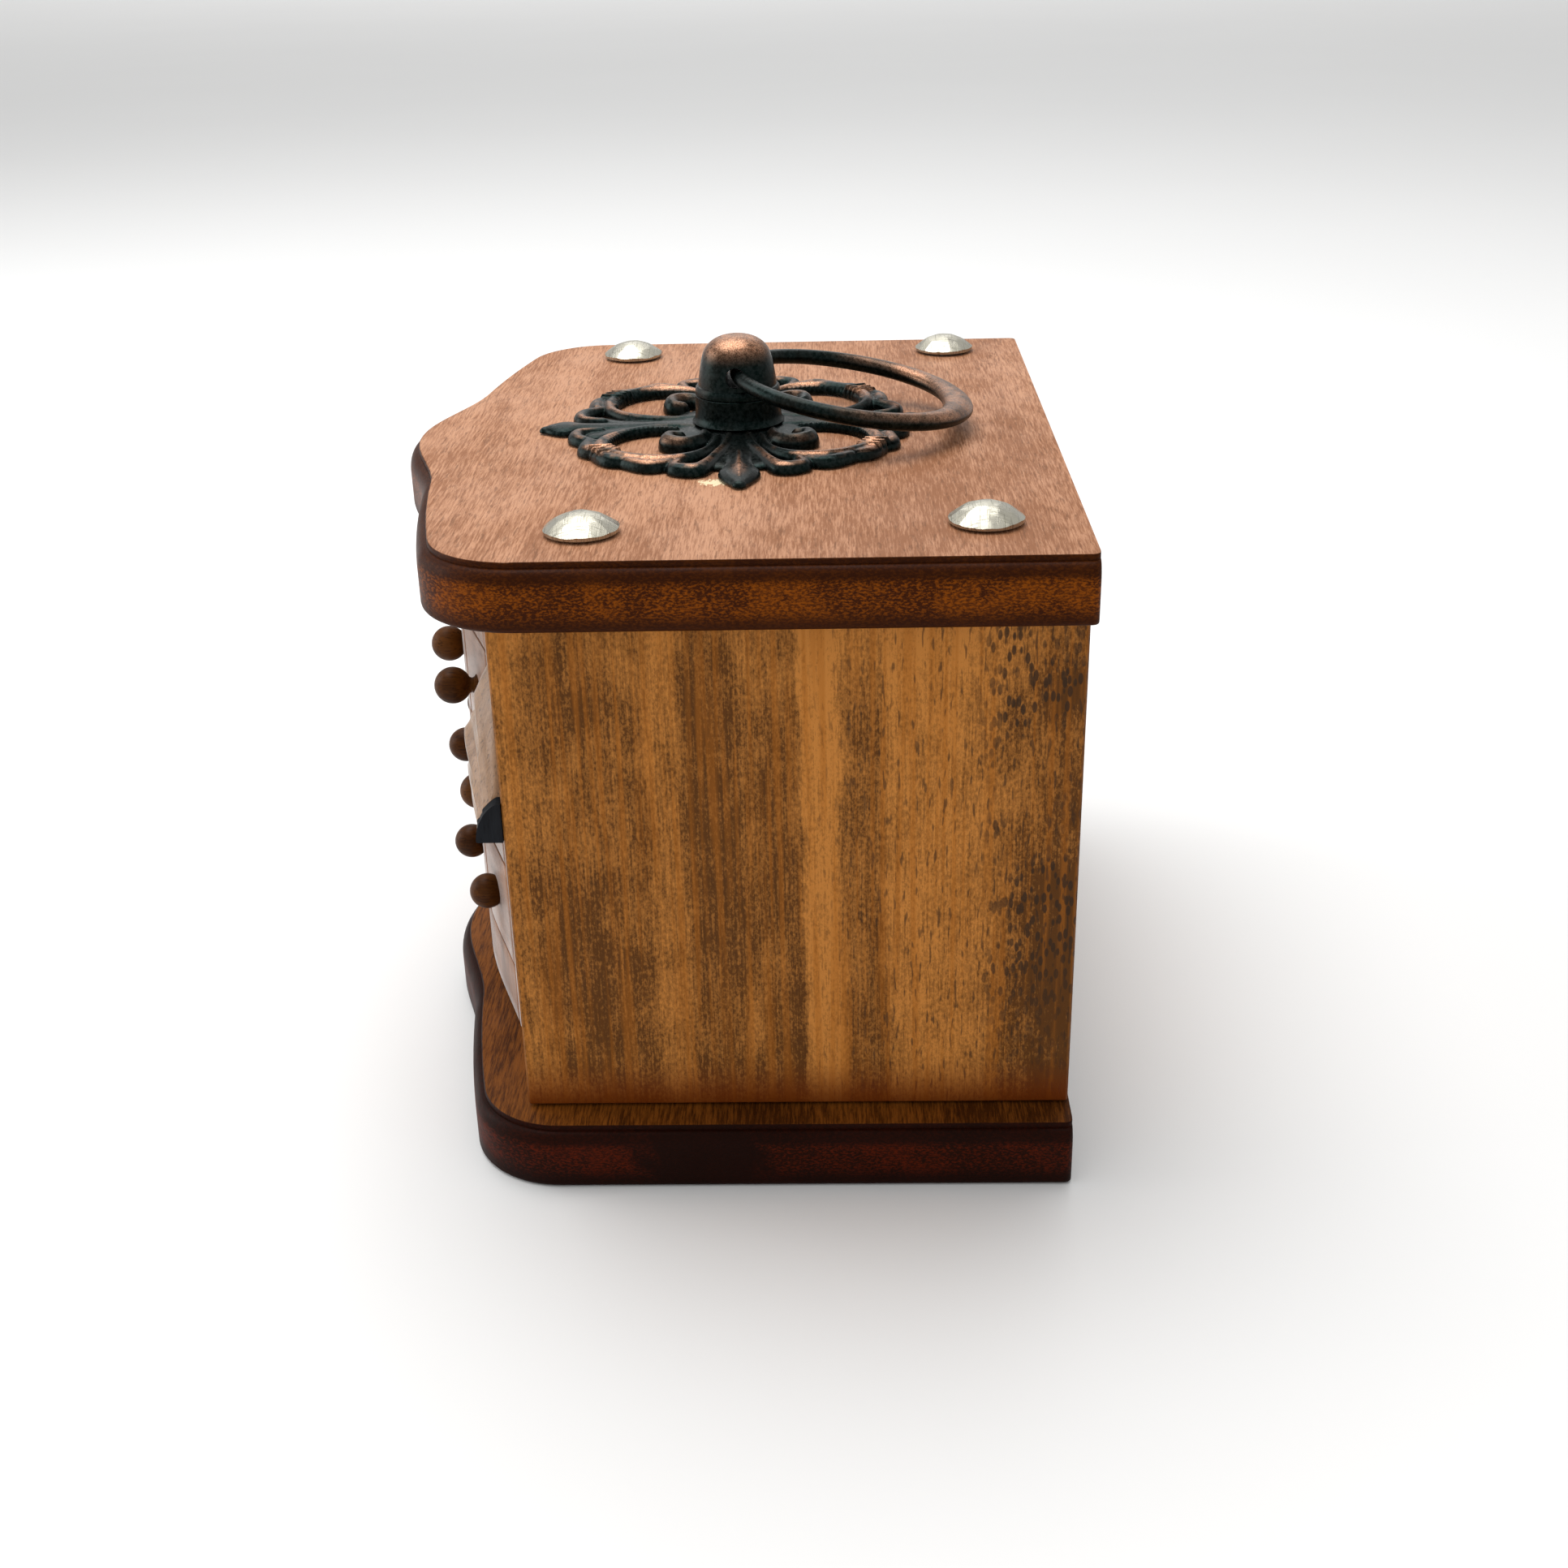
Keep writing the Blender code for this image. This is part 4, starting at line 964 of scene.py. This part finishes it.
def stroke(bm, points):
    """A cast rib in plan: points are (x, y, half width, height), in millimetres from the post."""
    line = smooth_profile(points, 7)
    previous = None
    for index, (x, y, width, rise) in enumerate(line):
        after = line[min(index + 1, len(line) - 1)]
        before = line[max(index - 1, 0)]
        heading = Vector((after[0] - before[0], after[1] - before[1], 0)).normalized()
        side = Vector((-heading.y, heading.x, 0))
        centre = Vector((x, y, RIB_AXIS))
        ring = []
        for k in range(RIB_SIDES):
            turn = 2 * math.pi * k / RIB_SIDES
            up = Vector((0, 0, rise * math.sin(turn)))
            ring.append(bm.verts.new(centre + side * (width * math.cos(turn)) + up))
        if previous:
            for k in range(RIB_SIDES):
                j = (k + 1) % RIB_SIDES
                bm.faces.new((previous[k], previous[j], ring[j], ring[k]))
        else:
            bm.faces.new(list(reversed(ring)))
        previous = ring
    bm.faces.new(previous)
    for x, y, width, rise in (line[0], line[-1]):
        bead(bm, x, y, width, rise)


def bead(bm, x, y, width, rise):
    """A rounded boss: rings from just under its pole to the other, closed by two caps."""
    previous = None
    for angle in spread(math.radians(15), math.radians(165), 6):
        ring = []
        for k in range(BEAD_SIDES):
            turn = 2 * math.pi * k / BEAD_SIDES
            reach = width * math.sin(angle)
            height = RIB_AXIS + rise * math.cos(angle)
            ring.append(bm.verts.new((x + reach * math.cos(turn), y + reach * math.sin(turn), height)))
        if previous:
            for k in range(BEAD_SIDES):
                j = (k + 1) % BEAD_SIDES
                bm.faces.new((previous[j], previous[k], ring[k], ring[j]))
        else:
            bm.faces.new(ring)
        previous = ring
    bm.faces.new(list(reversed(previous)))


# Ribs of one quarter: places, half width and height in millimetres from the post, X towards the long arm
QUARTER_STROKES = (
    # loop: leaves the boss, passes along the short arm, round the hole and back along the long arm
    ((5.0, 3.2, 1.0, 1.2), (2.8, 7.0, 1.0, 1.3), (2.4, 12.0, 1.05, 1.4), (4.6, 17.2, 1.1, 1.4),
     (8.8, 20.6, 1.2, 1.5), (13.8, 21.2, 1.3, 1.7), (18.4, 18.8, 1.4, 1.8), (21.2, 14.8, 1.45, 1.8),
     (21.6, 10.2, 1.35, 1.7), (19.2, 6.6, 1.2, 1.5), (15.0, 4.4, 1.0, 1.3), (9.0, 3.4, 0.9, 1.2)),
    # volute: curls out of the boss into the hole and stands proud of it
    ((6.2, 5.4, 0.9, 1.4), (9.0, 5.2, 1.1, 1.8), (12.2, 6.2, 1.3, 2.1), (13.8, 8.6, 1.4, 2.3),
     (12.4, 10.8, 1.5, 2.4), (9.8, 10.6, 1.4, 2.2), (9.2, 9.0, 1.1, 1.9)),
    # leaf beside the long arm, which ends in the first scallop
    ((8.0, 1.4, 0.9, 1.3), (14.0, 2.0, 1.0, 1.5), (19.0, 3.4, 1.0, 1.5), (23.0, 4.6, 1.2, 1.5),
     (26.4, 6.4, 1.6, 1.6), (25.4, 9.4, 1.4, 1.5), (22.8, 9.0, 1.1, 1.4)),
    # the other scallops, towards the short arm's tip
    ((23.0, 10.4, 1.1, 1.4), (23.8, 13.4, 1.5, 1.6), (21.6, 16.6, 1.2, 1.5)),
    ((21.0, 16.4, 1.1, 1.4), (20.0, 19.2, 1.5, 1.6), (16.8, 21.4, 1.2, 1.5)),
    ((16.4, 20.8, 1.1, 1.4), (14.2, 23.2, 1.5, 1.6), (10.4, 23.2, 1.2, 1.5)),
    ((10.2, 22.4, 1.0, 1.3), (7.2, 25.2, 1.4, 1.5), (4.0, 25.0, 1.1, 1.4), (2.8, 21.6, 0.9, 1.2)),
    # low webs that fill the corners
    ((20.0, 1.8, 2.0, 0.7), (23.0, 3.0, 1.8, 0.7)),
    ((1.6, 14.0, 1.4, 0.7), (2.4, 19.0, 1.6, 0.7), (4.6, 22.6, 1.8, 0.7)),
)
LONG_ARM = ((7.5, 0.0, 3.4, 1.1), (12.0, 0.0, 2.6, 1.1), (16.0, 0.0, 2.4, 1.0), (20.0, 0.0, 2.6, 1.0),
            (24.0, 0.0, 2.2, 1.1), (27.4, 0.0, 3.2, 1.3), (30.4, 0.0, 2.6, 1.2), (33.2, 0.0, 1.2, 0.9))
SHORT_ARM = ((0.0, 7.5, 3.4, 1.1), (0.0, 12.0, 2.2, 1.1), (0.0, 16.0, 1.8, 1.0), (0.0, 20.0, 1.9, 1.0),
             (0.0, 24.4, 1.8, 1.1), (0.0, 27.4, 3.1, 1.3), (0.0, 29.4, 2.3, 1.1), (0.0, 30.7, 1.1, 0.8))
LONG_VEIN = ((18.0, 0.0, 0.5, 1.25), (23.0, 0.0, 0.6, 1.4), (27.4, 0.0, 1.0, 1.6), (31.6, 0.0, 0.5, 1.3))
LOOP_CENTRE = (12.0, 12.2)
LOOP_REACH = (8.6, 8.0)
PLATE_TURN = math.radians(2.5)
PLATE_SHIFT = -0.9 * MM
PLATE_VOXEL = 0.19 * MM
# Boss round the spindle: (radius, height), millimetres, with a bore that clears the shifted spindle
BOSS = ((3.3, 1.15), (8.4, 1.15), (9.6, 0.95), (11.4, 0.55), (12.6, -0.5), (3.3, -0.5))
ROPE_BEADS = 22
ROPE_STEP = 5.6
BINDINGS = (52, 60, 68)


def loop_place(angle, grow):
    """A point round the hole of a loop, grown from its rim by a length in millimetres."""
    x = LOOP_CENTRE[0] + (LOOP_REACH[0] + grow) * math.cos(angle)
    return x, LOOP_CENTRE[1] + (LOOP_REACH[1] + grow) * math.sin(angle)


def dress_loop(bm, sx, sy):
    """Rope beads on the far side of a loop's hole, and three bound ridges on its outer side."""
    start = 80 if sx > 0 else -25
    for k in range(ROPE_BEADS):
        x, y = loop_place(math.radians(start + ROPE_STEP * k), 0.0)
        bead(bm, sx * x, sy * y, 0.55, 1.35)
    for degrees in BINDINGS:
        inner = loop_place(math.radians(degrees - 3), -0.2)
        outer = loop_place(math.radians(degrees + 3), 3.0)
        line = []
        for t in (0, 0.5, 1):
            line.append((inner[0] + (outer[0] - inner[0]) * t, inner[1] + (outer[1] - inner[1]) * t))
        stroke(bm, [(sx * x, sy * y, 0.5, 2.05) for x, y in line])


def plate_mesh():
    """Ribs and beads fused into one casting, then cut flat where it lies on the board."""
    bm = bmesh.new()
    for sx in (1, -1):
        for sy in (1, -1):
            for points in QUARTER_STROKES:
                stroke(bm, [(sx * x, sy * y, width, rise) for x, y, width, rise in points])
            dress_loop(bm, sx, sy)
        stroke(bm, [(sx * x, y, width, rise) for x, y, width, rise in LONG_ARM])
        stroke(bm, [(sx * x, y, width, rise) for x, y, width, rise in LONG_VEIN])
    for sy in (1, -1):
        stroke(bm, [(x, sy * y, width, rise) for x, y, width, rise in SHORT_ARM])
    mesh = bpy.data.meshes.new("plate_ribs")
    bm.to_mesh(mesh)
    mesh.transform(Matrix.Scale(MM, 4))
    bm.free()
    boss = turned("boss", [(r * MM, z * MM) for r, z in BOSS], hollow=True)
    bm = bmesh.new()
    bm.from_mesh(mesh)
    bm.from_mesh(boss)
    bm.to_mesh(mesh)
    bm.free()
    turn = Matrix.Rotation(PLATE_TURN, 4, "Z")
    shift = Matrix.Translation((PLATE_SHIFT, 0, 0))
    mesh.transform(Matrix.Translation((0, POST_Y, PLATE_LOW.z)) @ turn @ shift)
    return fuse(mesh, PLATE_VOXEL, PLATE_LOW.z)


def fuse(mesh, voxel, floor):
    """One skin round overlapping shapes, smoothed a little, and cut flat at a height."""
    blank = bpy.data.objects.new("blank", mesh)
    bpy.context.scene.collection.objects.link(blank)
    remesh = blank.modifiers.new("fuse", "REMESH")
    remesh.mode = "VOXEL"
    remesh.voxel_size = voxel
    smooth = blank.modifiers.new("soften", "SMOOTH")
    smooth.factor = 0.5
    smooth.iterations = 2
    graph = bpy.context.evaluated_depsgraph_get()
    result = bpy.data.meshes.new_from_object(blank.evaluated_get(graph))
    bpy.data.objects.remove(blank, do_unlink=True)
    bm = bmesh.new()
    bm.from_mesh(result)
    cut = bmesh.ops.bisect_plane(bm, geom=bm.verts[:] + bm.edges[:] + bm.faces[:], dist=0.001 * MM,
                                 plane_co=(0, 0, floor), plane_no=(0, 0, 1), clear_inner=True)
    rim = [item for item in cut["geom_cut"] if isinstance(item, bmesh.types.BMEdge)]
    bmesh.ops.triangle_fill(bm, edges=rim, use_beauty=True)
    bmesh.ops.recalc_face_normals(bm, faces=bm.faces)
    bm.to_mesh(result)
    bm.free()
    return result


def make_plate():
    show("cast_escutcheon", plate_mesh(), PLATE_PAINT, "carcass", ("escutcheon",), 60.0)


# ---------------------------------------------------------------- pieces kept from the frame

def paint_nodes():
    """Gives every CAD piece that still shows its own wood or metal."""
    paints = {"side_panel_right": RIGHT_PAINT, "side_panel_left": LEFT_PAINT, "back_panel": BACK_PAINT,
              "lock_crank": STEEL_PAINT, "spindle_nut": STEEL_PAINT}
    for name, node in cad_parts.items():
        node.data.materials.clear()
        node.data.materials.append(paints.get(name, INNER_PAINT))


make_stage()
make_camera()
paint_nodes()
make_board("moulded_top", TOP_LOW, TOP_HIGH, TOP_PAINT, "top_board", True)
make_board("moulded_base", BASE_LOW, BASE_HIGH, BASE_PAINT, "base_board", False)
make_drawer_fronts()
make_rails_and_faces()
make_stiles()
make_knobs()
make_brackets()
make_nails()
make_post()
make_collar()
make_ring()
make_plate()
